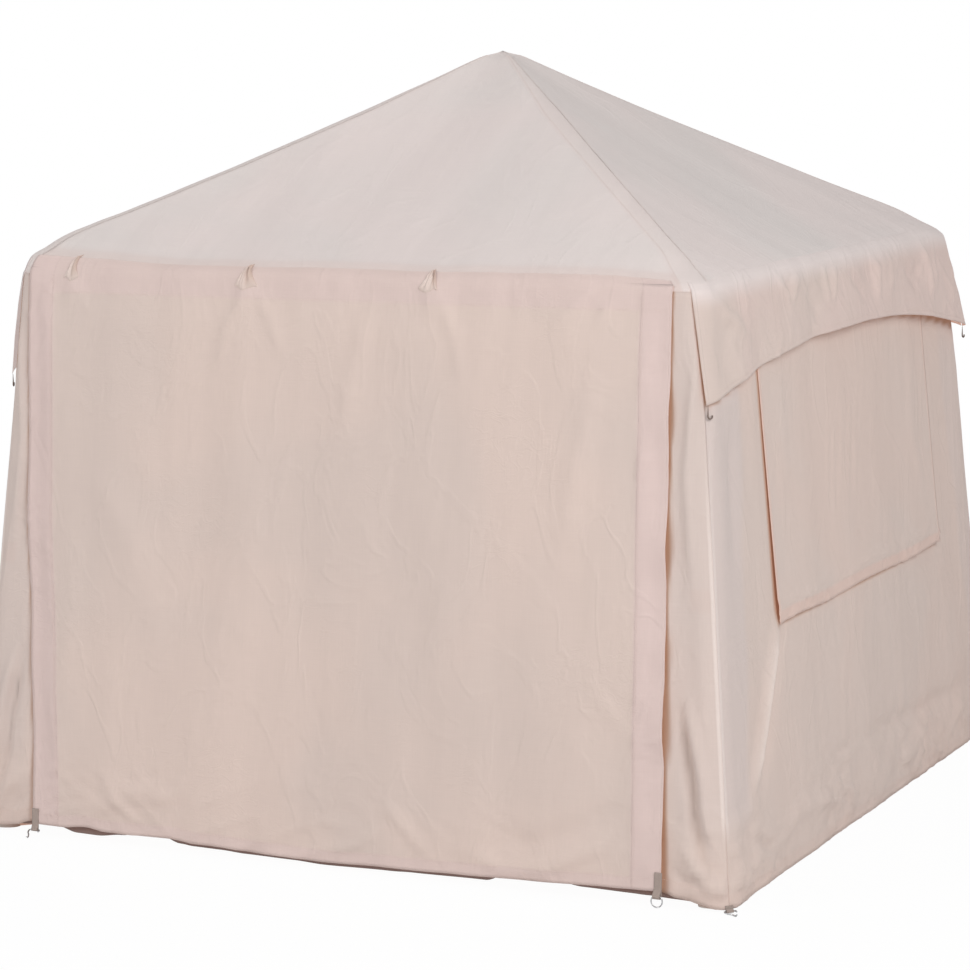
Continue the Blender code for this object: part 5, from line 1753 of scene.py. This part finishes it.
def air_tube_net():
    """Sweeps a round sleeve along a centre line by its own radius, with soft wrinkles."""
    kinds = {"Ring Spacing": "Float", "Sides": "Int", "Wrinkle Depth": "Float"}
    net = PathNet("air_tube", {**kinds, "Wrinkle Scale": "Float", "Material": "Material"})
    spaced = net.evenly("Ring Spacing")
    width = net.add("InputNamedAttribute", {"Name": "tube_radius"}, data_type="FLOAT")
    width = width.outputs["Attribute"]
    sized = net.step("SetCurveRadius", {"Curve": spaced, "Radius": width})
    circle = net.step("CurvePrimitiveCircle", {"Resolution": net.start["Sides"], "Radius": 1.0})
    swept = net.add("CurveToMesh", {"Curve": sized, "Profile Curve": circle, "Fill Caps": True})
    if "Scale" in swept.inputs:
        net.put(swept, "Scale", width)
    inputs = {"Vector": net.step("InputPosition"), "Scale": net.start["Wrinkle Scale"]}
    noise = net.add("ShaderNodeTexNoise", {**inputs, "Detail": 2.0, "Distortion": 0.5})
    centred = net.math("SUBTRACT", noise.outputs["Fac"], 0.62)
    depth = net.math("MULTIPLY", centred, net.start["Wrinkle Depth"])
    inputs = {0: net.step("InputNormal"), "Scale": depth}
    push = net.step("ShaderNodeVectorMath", inputs, operation="SCALE")
    net.close(net.step("SetPosition", {"Geometry": swept.outputs[0], "Offset": push}))
    return net


def line_mesh(name, lines, closed=False, radii=None):
    """Polylines as loose edges, with a tube radius at each point if given."""
    points = np.concatenate(lines)
    edges = []
    first = 0
    for line in lines:
        edges += [(first + index, first + index + 1) for index in range(len(line) - 1)]
        if closed:
            edges.append((first + len(line) - 1, first))
        first += len(line)
    mesh = bpy.data.meshes.new(name)
    mesh.from_pydata(points.tolist(), edges, [])
    if radii is not None:
        marked(mesh, "tube_radius", radii)
    return mesh


def build_stitching():
    """Stitches along every line that was noted as a sheet was made."""
    net = stitch_net()
    values = {
        "Stitch Pitch": shape().stitch_pitch,
        "Stitch Length": shape().stitch_length,
        "Thread Radius": shape().thread,
        "Material": finish("thread"),
    }
    shell = ["roof_cloth"] + [side + "_wall_cloth" for side in SIDES]
    groups = {"shell": (shell, None), "curtain": (["curtain_cloth"], CURTAIN_BEND)}
    for side in VALANCE_FLARES:
        groups[side + "_flap"] = ([side + "_flap_cloth"], flap_bend(side))
        groups[side + "_valance"] = ([side + "_valance_cloth"], valance_bend(side))
    for key, (owners, bend) in groups.items():
        name = key + "_stitching"
        lines = [line for owner in owners for line in SEWN[owner]]
        piece = net.run(new_piece(name, line_mesh(name, lines), finish("thread")), values)
        if bend is None:
            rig.ride(piece, "root")
        else:
            bend_with(piece, *bend)


# Air frame

LEG_TIE_CLOTH = 0.0009


def diagonal_point(reach, height):
    return Vector((reach / math.sqrt(2), -reach / math.sqrt(2), height))


def leg_reach(height):
    return math.sqrt(2) * (wall_offset(height) - CORNER_RADIUS)


def hip_beam_point(share):
    """(reach, height) of a beam's centre line under the hip."""
    drop = (SLEEVE_RADIUS + FRAME_CLOTH + BEAM_HIP_GAP) / math.cos(ROOF_PITCH)
    return Vector((math.sqrt(2) * share * EAVE_HALF, hip_height(share) - drop))


def beam_line():
    """Centre line of the front right beam and its radii, from its foot to the hub."""
    foot = Vector((leg_reach(0.0075), 0.0075))
    upper = Vector((leg_reach(EAVE_HEIGHT), EAVE_HEIGHT))
    leg, hip = (upper - foot).normalized(), hip_beam_point(0.8) - hip_beam_point(1.0)
    hip.normalize()
    gap = hip_beam_point(1.0) - foot
    reach = (gap.x * hip.y - gap.y * hip.x) / (leg.x * hip.y - leg.y * hip.x)
    knee = foot + leg * reach
    bend = (math.pi - (-leg).angle(hip)) / 2
    trim = BEAM_BEND_RADIUS * math.tan(bend)
    centre_way = (hip - leg).normalized()
    centre = knee + centre_way * (BEAM_BEND_RADIUS / math.cos(bend))
    line = [foot.lerp(knee - leg * trim, share) for share in np.linspace(0, 1, 12)]
    first = knee - leg * trim - centre
    turn = 2 * bend * (1 if first.x * hip.y - first.y * hip.x > 0 else -1)
    for share in np.linspace(0.0, 1.0, 10)[1:]:
        line.append(centre + Matrix.Rotation(turn * share, 2) @ first)
    tip_share = (HUB_APOTHEM + 0.0003) / (math.sqrt(2) * EAVE_HALF)
    start_share = line[-1].x / (math.sqrt(2) * EAVE_HALF)
    for share in np.linspace(start_share, 0.24, 10)[1:]:
        line.append(hip_beam_point(share))
    radii = [SLEEVE_RADIUS] * len(line)
    for share in np.linspace(0.24, tip_share, 6)[1:]:
        line.append(hip_beam_point(share))
        blend = (0.24 - share) / (0.24 - tip_share)
        radii.append(SLEEVE_RADIUS + (BEAM_TIP_RADIUS - SLEEVE_RADIUS) * blend)
    return [diagonal_point(*point) for point in line], np.array(radii)


def eave_ring_line():
    """Centre line of the air ring under the eave."""
    half = wall_offset(RING_HEIGHT) - FRAME_CLOTH - 0.0008 - RING_RADIUS
    inner = leg_reach(RING_HEIGHT) - SLEEVE_RADIUS - RING_RADIUS - 0.0008
    radius = (math.sqrt(2) * half - inner) / (math.sqrt(2) - 1.0)
    points = []
    for quarter in range(4):
        side = stops(-1.0, 1.0, step=0.1)
        line = [(value * (half - radius), -half) for value in side]
        for angle in np.linspace(0.0, math.pi / 2, 14)[1:-1]:
            flat = half - radius
            line.append((flat + radius * math.sin(angle), -flat - radius * math.cos(angle)))
        spun = turned(np.array([(x, y, RING_HEIGHT) for x, y in line]), 90.0 * quarter)
        points.append(spun)
    return np.concatenate(points)


def build_air_frame():
    """Sleeves and bladders of the four beams and the ring, and the leg ties."""
    net = air_tube_net()
    points, radii = beam_line()
    line = np.array([tuple(point) for point in points])
    bladder_line = line.copy()
    bladder_line[0] += (line[1] - line[0]) / np.linalg.norm(line[1] - line[0]) * 0.006
    bladder_line[-1] += (line[-2] - line[-1]) / np.linalg.norm(line[-2] - line[-1]) * 0.006
    ring = eave_ring_line()
    cloth = {"Ring Spacing": 0.022, "Sides": 28, "Wrinkle Depth": 0.003, "Wrinkle Scale": 9.0}
    film = {"Ring Spacing": 0.045, "Sides": 18, "Wrinkle Depth": 0.0008, "Wrinkle Scale": 5.0}
    cloth["Material"], film["Material"] = finish("sleeve"), finish("film")
    tubes = []
    for corner, degrees in CORNERS.items():
        spun = turned(line, degrees)
        inner = turned(bladder_line, degrees)
        tubes.append(("beam_air_sleeve_" + corner, spun, radii - 0.0004, cloth, False))
        tubes.append(("beam_air_bladder_" + corner, inner, radii - 0.0045, film, False))
    same = np.full(len(ring), RING_RADIUS)
    tubes.append(("eave_air_sleeve", ring, same - 0.0004, cloth, True))
    tubes.append(("eave_air_bladder", ring, same - 0.0045, film, True))
    for name, path, widths, values, closed in tubes:
        mesh = line_mesh(name, [path], closed, widths)
        piece = net.run(new_piece(name, mesh, values["Material"]), values)
        slot = "sleeve_cloth" if "sleeve" in name else "bladder_film"
        fit(piece, name.replace("_air_", "_"), slot)
    for corner in CORNERS:
        build_leg_tie(corner)


def build_leg_tie(corner):
    """A cloth loop sewn inside the corner, which holds the leg's sleeve."""
    rises = np.linspace(-LEG_TIE_WIDTH / 2, LEG_TIE_WIDTH / 2, 9)
    angle, rise = np.meshgrid(np.linspace(0.0, 2 * math.pi, 49), rises)
    reach = SLEEVE_RADIUS + 0.0018 + 0.0004 * np.sin(9 * angle) * (rise / LEG_TIE_WIDTH)
    height = LEG_TIE_HEIGHT + rise
    centre = leg_reach(height) / math.sqrt(2)
    x, y = centre + reach * np.cos(angle), reach * np.sin(angle) - centre
    points = turned(np.stack([x, y, height], -1), CORNERS[corner])
    marks = {"seam": seam_distance(0.027 - np.abs(rise)), "doubled": np.full_like(rise, 0.5)}
    place = np.stack([angle * SLEEVE_RADIUS, rise], -1)
    piece = cloth_piece("leg_loop_" + corner, points, place, marks, "wall", LEG_TIE_CLOTH)
    fit(piece, "leg_tie_" + corner, "leg_tie_cloth")


# Webbing, ties and hardware

TAB_WIDTH = 0.026
TAB_LENGTH = 0.07
WEBBING_WIDTH = TAB_WIDTH - 0.002
WEBBING_THICKNESS = 0.0014
CORNER_TAB_SHOWN = 0.017
HOOK_LOOP_RADIUS = 0.003
RING_LOOP_RADIUS = 0.0075
LOOP_WALL = 0.002
LOOP_PLAY = 0.0003
TAB_GROUND_GAP = 0.003
RIGHT_TAB_RISE = 0.042
LEFT_TAB_RISE = 0.027
RIGHT_TAB_INSET = 0.014
LEFT_TAB_INSET = 0.041
HOOK_WIRE = 0.0025
HOOK_TILT = math.radians(3.0)
CURTAIN_HOOK_TILT = math.radians(20.0)
LOOP_RING_RADIUS = 0.018
RING_WIRE = 0.002
RING_SEAT = 0.0025
RING_LEAN = math.radians(4.0)
CORD_HOOK_WIRE = 0.002
CORD_HOOK_DROP = 0.033
CORD_HOOK_BEND = 0.007
CORD_HOOK_GAP = 0.0011
UP = Vector((0.0, 0.0, 1.0))


def frame_of(origin, x_axis, y_axis, z_axis):
    matrix = Matrix((x_axis, y_axis, z_axis)).transposed().to_4x4()
    matrix.translation = origin
    return matrix


def spin(angle, axis="Z"):
    return Matrix.Rotation(angle, 4, axis)


def tab_frame(out, along, height, outward, lean):
    """Frame of a tab's loop: X out of the cloth, Y up along it, Z along the bore."""
    sideways = outward.cross(UP)
    tilt = Matrix.Rotation(lean, 3, sideways)
    x_axis, y_axis = tilt @ outward, tilt @ UP
    origin = outward * out + sideways * along + UP * height
    return frame_of(origin, x_axis, y_axis, x_axis.cross(y_axis))


def ribbon_piece(name, path, matrix):
    """A strap along a path in its own XY plane, with its width along Z, placed by a matrix."""
    path = np.asarray(path, float)
    runs = np.concatenate([[0.0], np.cumsum(np.linalg.norm(np.diff(path, axis=0), axis=1))])
    c, r = np.meshgrid(np.linspace(-0.5, 0.5, 9), runs)
    x, y = path[:, :1] + 0.0 * c, path[:, 1:] + 0.0 * c
    crown = 0.0005 * (1.0 - (2 * c) ** 2)
    local = np.stack([x + crown, y, c * WEBBING_WIDTH], -1)
    points = local @ np.array(matrix.to_3x3()).T + np.array(matrix.translation)
    place = np.stack([c * WEBBING_WIDTH, r], -1)
    mesh = grid_mesh(name, points, place, with_marks(points, {}))
    return thickened(new_piece(name, mesh, finish("webbing")), WEBBING_THICKNESS, 0.0)


def tab_path(bore, length=TAB_LENGTH):
    """Down the cloth, round the wire and up again behind."""
    loop = bore + LOOP_WALL / 2
    front = -loop + 0.0022
    path = [(front, length)]
    path += [(front, y) for y in np.linspace(0.95 * length, bore + 0.2 * length, 6)]
    for angle in np.linspace(math.radians(50.0), -math.pi, 22):
        path.append((loop * math.cos(angle), loop * math.sin(angle)))
    return path + [(-loop, y) for y in np.linspace(0.006, length, 7)]


def corner_tab_frame(corner):
    loop = HOOK_LOOP_RADIUS + LOOP_WALL
    height = TAB_GROUND_GAP + loop
    out = leg_reach(height) + CORNER_RADIUS + (LOOP_PLAY + loop) / math.cos(CORNER_LEAN)
    outward = diagonal_point(1.0, 0.0)
    spun = spin(math.radians(CORNERS[corner]))
    return spun @ tab_frame(out, 0.0, height, outward, CORNER_LEAN)


def curtain_tab_frame(along, rise, bore):
    stand = HINGE_GAP + FRAME_CLOTH + 0.018
    out = wall_offset(rise) + stand + (LOOP_PLAY + bore + LOOP_WALL) / math.cos(WALL_LEAN)
    return tab_frame(out, along, rise, Vector((0.0, -1.0, 0.0)), WALL_LEAN)


# The curtain's two tabs, as (place along, rise and bore of the loop)
CURTAIN_TABS = {
    "right": (RIGHT_TAB_INSET - CURTAIN_HALF, RIGHT_TAB_RISE, RING_LOOP_RADIUS),
    "left": (CURTAIN_HALF - LEFT_TAB_INSET, LEFT_TAB_RISE, HOOK_LOOP_RADIUS),
}


def build_webbing():
    """Webbing tabs at the corners and the curtain's feet, and the curtain's three ties."""
    path = tab_path(HOOK_LOOP_RADIUS, CORNER_TAB_SHOWN)
    for corner in CORNERS:
        piece = ribbon_piece("corner_webbing_" + corner, path, corner_tab_frame(corner))
        fit(piece, "corner_tab_" + corner, "webbing")
    for hand, tab in CURTAIN_TABS.items():
        piece = ribbon_piece("curtain_webbing_" + hand, tab_path(tab[2]), curtain_tab_frame(*tab))
        fit(piece, "curtain_tab_" + hand, "webbing", "curtain")
    for number, (middle, tie) in enumerate(zip(shape_ties(), TIES), 1):
        build_tie(number, middle, *tie)


# Each tie: how far it reaches left and right, its length, and its folds as (place across,
# width, height), which fan out from its gathered top
TIES = (
    (0.03, 0.034, 0.08, ((-0.55, 0.22, 0.005), (0.5, 0.4, 0.006))),
    (0.046, 0.052, 0.094, (
        (-0.78, 0.1, 0.0045), (-0.45, 0.11, 0.006), (-0.16, 0.1, 0.0055), (0.58, 0.28, 0.009),
    )),
    (0.056, 0.026, 0.084, (
        (-0.8, 0.13, 0.007), (-0.45, 0.14, 0.008), (0.1, 0.13, 0.005), (0.62, 0.26, 0.007),
    )),
)


def build_tie(number, middle, left, right, tall, folds):
    """A cloth tie gathered to a point in the eave's seam, which fans out in folds below it."""
    across, part = np.meshgrid(np.linspace(-1.0, 1.0, 49), np.linspace(1.0, 0.0, 30))
    drop = part * tall * (1.0 + 0.07 * np.sin(4.0 * across + number))
    half = np.where(across < 0, left, right)
    half = half * (0.07 + 0.93 * ease(part * 0.62 + 0.04) / ease(0.66))
    x = middle + across * half
    below = drop - EAVE_LAP - 0.01
    share = np.where(below < 0, below, below / (HINGE_HEIGHT - curtain_hem(x)))
    lift = sum(rise * np.exp(-(((across - at) / wide) ** 2)) for at, wide, rise in folds)
    groove = np.exp(-(((across - 0.16) / 0.13) ** 2))
    lift = lift * ease(part / 0.22) * ease((1.0 - part) / 0.45)
    lift = 0.0022 + lift - 0.0012 * groove * ease(part / 0.2)
    lift = lift - 0.005 * ease((part - 0.88) / 0.12)
    lift = lift - 0.003 * ease((np.abs(across) - 0.9) / 0.1)
    low = ease((1.0 - part) / 0.6)
    # Painted highlight and shade: the tie's left folds are painted paler, its right folds warmer and darker.
    marks = {
        "pale": 0.6 * ease((0.02 - across) / 0.2) * low,
        "warm": 0.3 * ease((across - 0.02) / 0.1) * low,
    }
    place = np.stack([across * 0.05, drop], -1)
    points = curtain_place(x, share, lift)
    piece = cloth_piece(f"curtain_tie_{number}", points, place, marks, "curtain", THIN_CLOTH)
    fit(piece, f"roll_tie_{number}", "webbing", *CURTAIN_BEND)
    flat, area = (left + right, tall), 0.62 * (left + right) * tall
    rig.sheet(piece, flat=flat, area=area, held="folded", rests_on=["curtain_cloth"])


def wire_piece(name, path, radii, matrix, look):
    """A round wire through its points, as one smooth tube."""
    curve = bpy.data.curves.new(name, "CURVE")
    curve.dimensions = "3D"
    curve.bevel_depth = max(radii)
    curve.bevel_resolution = 5
    curve.use_fill_caps = True
    curve.resolution_u = 6
    spline = curve.splines.new("BEZIER")
    spline.bezier_points.add(len(path) - 1)
    for target, point, radius in zip(spline.bezier_points, path, radii):
        target.co = point
        target.handle_left_type = target.handle_right_type = "AUTO"
        target.radius = radius / max(radii)
    piece = applied(placed(name, curve))
    mesh = cleaned(piece.data, 1e-6, outward=True)
    mesh.transform(matrix)
    mesh.shade_smooth()
    mesh.set_sharp_from_angle(angle=math.radians(60.0))
    mesh.materials.clear()
    mesh.materials.append(finish(look))
    return piece


def ground_hook_path():
    side = TAB_WIDTH / 2 + 2 * HOOK_WIRE
    bar = [(0.01, -side), (0.002, -side), (0.0, -side + 0.004), (0.0, 0.0), (0.0, side - 0.004)]
    claw = [(0.003, side), (0.015, side - 0.001), (0.031, 0.006), (0.045, 0.001)]
    return [(x, 0.0, z) for x, z in bar + claw] + [(0.052, 0.006, 0.0)]


def cord_hook_path():
    path = [(0.0, 0.0, 0.0), (0.0, 0.0, -0.003), (0.0, 0.0, -CORD_HOOK_DROP * 0.55)]
    for angle in np.linspace(math.pi, 2.15 * math.pi, 7):
        x = (math.cos(angle) + 1.0) * CORD_HOOK_BEND
        path.append((x, 0.0, math.sin(angle) * CORD_HOOK_BEND - CORD_HOOK_DROP))
    return path, [CORD_HOOK_WIRE * share for share in (0.2, 0.45, 0.8) + (1.25,) * 7]


def build_hardware():
    """Ground hooks, the curtain's ring, the valances' hooks, and finishes for hub and valves."""
    hook = ground_hook_path()
    same = [HOOK_WIRE] * len(hook)
    for corner in CORNERS:
        place = corner_tab_frame(corner) @ spin(-HOOK_TILT - CORNER_LEAN)
        piece = wire_piece("ground_hook_" + corner, hook, same, place, "steel")
        fit(piece, "corner_hook_" + corner, "hook_steel", "corner_hook_" + corner)
    place = curtain_tab_frame(*CURTAIN_TABS["left"]) @ spin(-CURTAIN_HOOK_TILT - WALL_LEAN)
    piece = wire_piece("ground_hook_curtain", hook, same, place, "steel")
    fit(piece, "curtain_hook", "hook_steel", "curtain_hook")
    mesh = ring_mesh("wire_ring", LOOP_RING_RADIUS, RING_WIRE, RING_SEAT - LOOP_RING_RADIUS)
    right = curtain_tab_frame(*CURTAIN_TABS["right"])
    mesh.transform(Matrix.Translation(right.translation) @ spin(-RING_LEAN, "X"))
    fit(new_piece("wire_ring", mesh, finish("steel")), "curtain_ring", "hook_steel", "ring")
    path, radii = cord_hook_path()
    left_front = 45.0 - math.degrees(VALANCE_LEFT_BACK)
    for side, hand, end, facing in (
        ("right", -1, "front", 45.0),
        ("right", 1, "rear", 45.0),
        ("left", -1, "rear", 45.0),
        ("left", 1, "front", left_front),
    ):
        suffix = side + "_" + end
        tip = Vector(valance_tip(side, hand))
        tip.z -= CORD_HOOK_GAP
        turn = math.radians(SIDES[side] - 90.0 - (90.0 - facing) * hand)
        place = Matrix.Translation(tip) @ spin(turn)
        piece = wire_piece("cord_hook_" + suffix, path, radii, place, "hook")
        fit(piece, "valance_hook_" + suffix, "elastic_hook", "valance_hook_" + suffix)
    coat("apex_hub", "plastic")
    for corner in [*CORNERS, "eave"]:
        coat("valve_" + corner, "plastic")
        coat("valve_cap_" + corner, "rubber")


def valance_tip(side, hand):
    """The middle of a valance's cloth at its tip, where its hook hangs."""
    turn = 0.93
    across = hand * (1.0 - CORNER_SHARE * (1.0 - turn))
    height = HINGE_HEIGHT - valance_depth(across)
    out = HINGE_GAP + FRAME_CLOTH + valance_flare(side, across, 1.0) - FRAME_CLOTH / 2
    angle = turn * float(valance_end(side, hand, 1.0))
    reach = CORNER_RADIUS + VALANCE_CORNER_EASE + out
    x = hand * (face_half(height) + reach * math.sin(angle))
    y = -(face_half(height) + reach * math.cos(angle))
    return turned(np.array([x, y, height]), SIDES[side])


def ring_mesh(name, radius, wire, lift):
    """A round wire ring in the XZ plane."""
    a, t = np.meshgrid(
        np.linspace(0.0, 2 * math.pi, 65)[:-1], np.linspace(0.0, 2 * math.pi, 17)[:-1]
    )
    reach = radius + wire * np.cos(t)
    points = np.stack([reach * np.cos(a), wire * np.sin(t), lift + reach * np.sin(a)], -1)
    points = np.concatenate([points, points[:1]])
    a, t = np.concatenate([a, a[:1]]), np.concatenate([t, t[:1] + 2 * math.pi])
    place = np.stack([a * radius, t * wire], -1)
    mesh = grid_mesh(name, points, place, {"seam": np.zeros_like(a)}, wrapped=True)
    return cleaned(mesh, 1e-6, outward=True)


def coat(node, name):
    """Gives a frame node that stays its finish."""
    piece = frame["nodes"][node]
    if not piece.material_slots:
        piece.data.materials.append(finish(name))
    for slot in piece.material_slots:
        slot.material = finish(name)


# Studio

CAMERA_PLACE = (4.714, -10.106, 2.715)
CAMERA_YAW = math.radians(25.42)
CAMERA_PITCH = math.radians(-8.57)
CAMERA_ROLL = math.radians(-0.77)
PHOTO_SIDE = 970
FOCAL_PIXELS = 3248.0
SENSOR = 36.0
FLOOR_RADIUS = 60.0
FLOOR_GAP = 0.0005
WHITE = (1.0, 1.0, 1.0)
LAMP_WARM = (1.0, 0.985, 0.965)


def build_camera():
    """The photograph's own view: place, direction, roll and focal length."""
    right = Vector((math.cos(CAMERA_YAW), math.sin(CAMERA_YAW), 0.0))
    ahead = Vector((-right.y, right.x, math.tan(CAMERA_PITCH))) * math.cos(CAMERA_PITCH)
    up = right.cross(ahead)
    x_axis = right * math.cos(CAMERA_ROLL) + up * math.sin(CAMERA_ROLL)
    y_axis = up * math.cos(CAMERA_ROLL) - right * math.sin(CAMERA_ROLL)
    data = bpy.data.cameras.new("studio_camera")
    data.sensor_width = SENSOR
    data.lens = SENSOR * FOCAL_PIXELS / PHOTO_SIDE
    data.clip_end = 200.0
    camera = placed("studio_camera", data)
    camera.matrix_world = frame_of(Vector(CAMERA_PLACE), x_axis, y_axis, -ahead)
    bpy.context.scene.camera = camera


def add_area_light(name, place, target, size, power):
    data = bpy.data.lights.new(name, "AREA")
    data.shape = "DISK"
    data.size = size
    data.energy = power
    data.color = LAMP_WARM
    light = placed(name, data)
    light.location = place
    aim = Vector(target) - Vector(place)
    light.rotation_euler = aim.to_track_quat("-Z", "Y").to_euler()


def seen_directly(net):
    """1 for rays from the camera, mirrors and glass, else 0."""
    rays = net.add("LightPath").outputs
    first = net.math("MAXIMUM", rays["Is Camera Ray"], rays["Is Glossy Ray"])
    return net.math("MAXIMUM", first, rays["Is Transmission Ray"])


def build_stage():
    """Pale floor, white surroundings, soft lamps and the camera."""
    tone = bpy.context.scene.tent_colours.floor
    net = Surface("studio_floor")
    place = net.object_place()
    mottle = net.mix(net.noise(place, 2.0), tone, times(tone, 0.985))
    net.set({"Base Color": mottle, "Roughness": 0.9})
    glow = net.step("Emission", {"Strength": 1.0, "Color": (*WHITE, 1.0)})
    away = net.add("VectorMath", {0: place}, operation="LENGTH").outputs["Value"]
    factor = net.math("MULTIPLY", seen_directly(net), net.map(away, 2.0, 4.0, 0.965, 1.0))
    mixed = net.step("MixShader", {0: factor, 1: net.shader.outputs[0], 2: glow})
    net.put(net.tree.nodes["Material Output"], 0, mixed)
    mesh = bpy.data.meshes.new("studio_floor")
    bm = bmesh.new()
    bmesh.ops.create_circle(bm, cap_ends=True, segments=96, radius=FLOOR_RADIUS)
    bm.to_mesh(mesh)
    bm.free()
    mesh.transform(Matrix.Translation((0.0, 0.0, -FLOOR_GAP)))
    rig.stage(new_piece("studio_floor", mesh, net.material))
    world = bpy.data.worlds.new("studio_world")
    world.use_nodes = True
    net = Net(world.node_tree)
    background, direct, sky = net.tree.nodes["Background"], seen_directly(net), shape().sky
    net.put(background, "Color", net.mix(direct, (1.0, 0.995, 0.985), WHITE))
    net.put(background, "Strength", net.math("MULTIPLY_ADD", direct, 1.0 - sky, sky))
    bpy.context.scene.world = world
    add_area_light("key_light", (-6.0, -9.5, 7.0), (0.0, 0.0, 1.2), 5.0, shape().key)
    add_area_light("fill_light", (8.1, -6.05, 6.5), (0.6, 0.0, 1.2), 6.0, shape().fill)
    bpy.context.scene.view_settings.view_transform = "Standard"


# Add-on


def number(label, text, default, **more):
    return bpy.props.FloatProperty(name=label, description=text, default=default, **more)


def length(label, text, default, **more):
    return number(label, text, default, unit="LENGTH", **more)


class TentShape(bpy.types.PropertyGroup):
    """Sizes of the cloth and its sewing, and the strength of the lamps"""

    cloth: length("Cloth", "Thickness of the cloth", 0.001, min=0.0004)
    wrinkle: number("Wrinkles", "Share of the usual depth of folds and creases", 1.0)
    wall_step: length("Wall step", "Spacing of the walls' points", 0.0165)
    curtain_step: length("Curtain step", "Spacing of the curtain's points", 0.0135)
    stitch_pitch: length("Stitch pitch", "Distance between stitches", 0.0055)
    stitch_length: length("Stitch length", "Length of one stitch", 0.0042)
    thread: length("Thread", "Radius of the sewing thread", 0.0005)
    sky: number("Sky", "Brightness of the even light from all round", 0.44)
    key: number("Key lamp", "Power of the lamp at the front left", 400.0, unit="POWER")
    fill: number("Fill lamp", "Power of the lamp at the right", 605.0, unit="POWER")


def colour(label, text, *screen):
    shade = {"default": srgb(*screen), "size": 3, "subtype": "COLOR", "min": 0, "max": 1}
    return bpy.props.FloatVectorProperty(name=label, description=text, **shade)


class TentColours(bpy.types.PropertyGroup):
    """Colours of the tent and the floor"""

    cloth: colour("Cloth", "Curtain cloth", 214, 196, 188)
    cloth_grey: colour("Grey cloth", "Cloth where it reads greyer", 209, 193, 186)
    doubled: colour("Doubled cloth", "Bands and hems", 213, 193, 189)
    valance: colour("Valance cloth", "Valances", 214, 194, 188)
    # Painted highlight on tight crests, seams and the ties' folds
    pale: colour("Painted highlight", "Tight crests and seams", 228, 214, 208)
    warm: colour("Warm shade", "Cloth seen in the gap between two sheets", 172, 136, 112)
    glow: colour("Glow", "Light that comes through the cloth", 238, 184, 158)
    # Painted bluish sky tint on the cloth over the air legs
    cool: colour("Painted sky tint", "Cloth over the air legs", 203, 192, 191)
    side_cloth: colour("Side cloth", "Walls and flaps", 212, 193, 185)
    side_doubled: colour("Doubled side cloth", "Hems of walls and flaps", 214, 190, 181)
    roof: colour("Roof cloth", "Roof", 223, 212, 210)
    roof_grey: colour("Grey roof cloth", "Roof where it reads greyer", 219, 211, 209)
    groundsheet: colour("Groundsheet", "Coated groundsheet", 138, 116, 110)
    sleeve: colour("Sleeve", "Sleeves of the air frame", 205, 200, 196)
    mesh: colour("Insect mesh", "Threads of the window mesh", 74, 70, 69)
    webbing: colour("Webbing", "Webbing tabs", 163, 148, 141)
    film: colour("Film", "Air bladders", 214, 219, 221)
    plastic: colour("Plastic", "Hub and valves", 62, 60, 60)
    hook: colour("Cord hooks", "Elastic and hook at the valances' tips", 112, 96, 88)
    steel: colour("Steel", "Hooks and ring", 178, 178, 180)
    thread: colour("Thread", "Sewing thread", 222, 204, 197)
    floor: colour("Floor", "Studio floor", 238, 237, 236)


def tent_operator(key, label, text, *jobs):
    """An operator class that runs some of the builders above."""

    def execute(self, context):
        for job in jobs:
            job()
        return {"FINISHED"}

    words = {
        "bl_idname": "tent." + key,
        "bl_label": label,
        "bl_description": text,
        "bl_options": {"REGISTER"},
        "__doc__": text,
        "execute": execute,
    }
    return type("TENT_OT_" + key, (bpy.types.Operator,), words)


STEPS = (
    ("camera", "Camera", "Add the camera at the photograph's view", build_camera),
    ("canopy", "Roof", "Build the roof cloth", build_canopy),
    ("walls", "Walls", "Build the walls and window mesh", build_walls, build_window_meshes),
    ("curtain", "Curtain", "Build the front curtain", build_curtain),
    ("flaps", "Flaps", "Build the window flaps", build_flaps),
    ("valances", "Valances", "Build the valances", build_valances),
    ("groundsheet", "Groundsheet", "Build the groundsheet", build_groundsheet),
    ("air_frame", "Air frame", "Build sleeves, bladders and leg ties", build_air_frame),
    ("webbing", "Webbing", "Build the webbing tabs and ties", build_webbing),
    ("hardware", "Hardware", "Build hooks and ring, and finish hub and valves", build_hardware),
    ("stitching", "Stitching", "Lay the stitches along every seam", build_stitching),
    ("stage", "Studio", "Add the floor, lamps and surroundings", build_stage),
)
OPERATORS = [tent_operator(*step) for step in STEPS]


class TENT_PT_panel(bpy.types.Panel):
    """Lists the tent's sizes, colours and steps"""

    bl_idname = "TENT_PT_panel"
    bl_label = "Inflatable garden tent"
    bl_space_type = "VIEW_3D"
    bl_region_type = "UI"
    bl_category = "Tent"

    def draw(self, context):
        layout = self.layout
        for group in (context.scene.tent_shape, context.scene.tent_colours):
            for name in group.__annotations__:
                layout.prop(group, name)
        for operator in OPERATORS:
            layout.operator(operator.bl_idname)


CLASSES = (TentShape, TentColours, *OPERATORS, TENT_PT_panel)


def register():
    for item in CLASSES:
        bpy.utils.register_class(item)
    bpy.types.Scene.tent_shape = bpy.props.PointerProperty(type=TentShape)
    bpy.types.Scene.tent_colours = bpy.props.PointerProperty(type=TentColours)


def unregister():
    del bpy.types.Scene.tent_colours
    del bpy.types.Scene.tent_shape
    for item in reversed(CLASSES):
        bpy.utils.unregister_class(item)


def main():
    """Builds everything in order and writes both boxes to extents.json."""
    register()
    for operator in OPERATORS:
        getattr(bpy.ops.tent, operator.bl_idname.split(".")[1])()
    low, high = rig.bounds()
    boxes = {
        "cad": [list(CAD_LOW), list(CAD_HIGH)],
        "visual": [list(low), list(high)],
    }
    with open("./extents.json", "w") as kept:
        json.dump(boxes, kept)


if __name__ == "__main__":
    main()
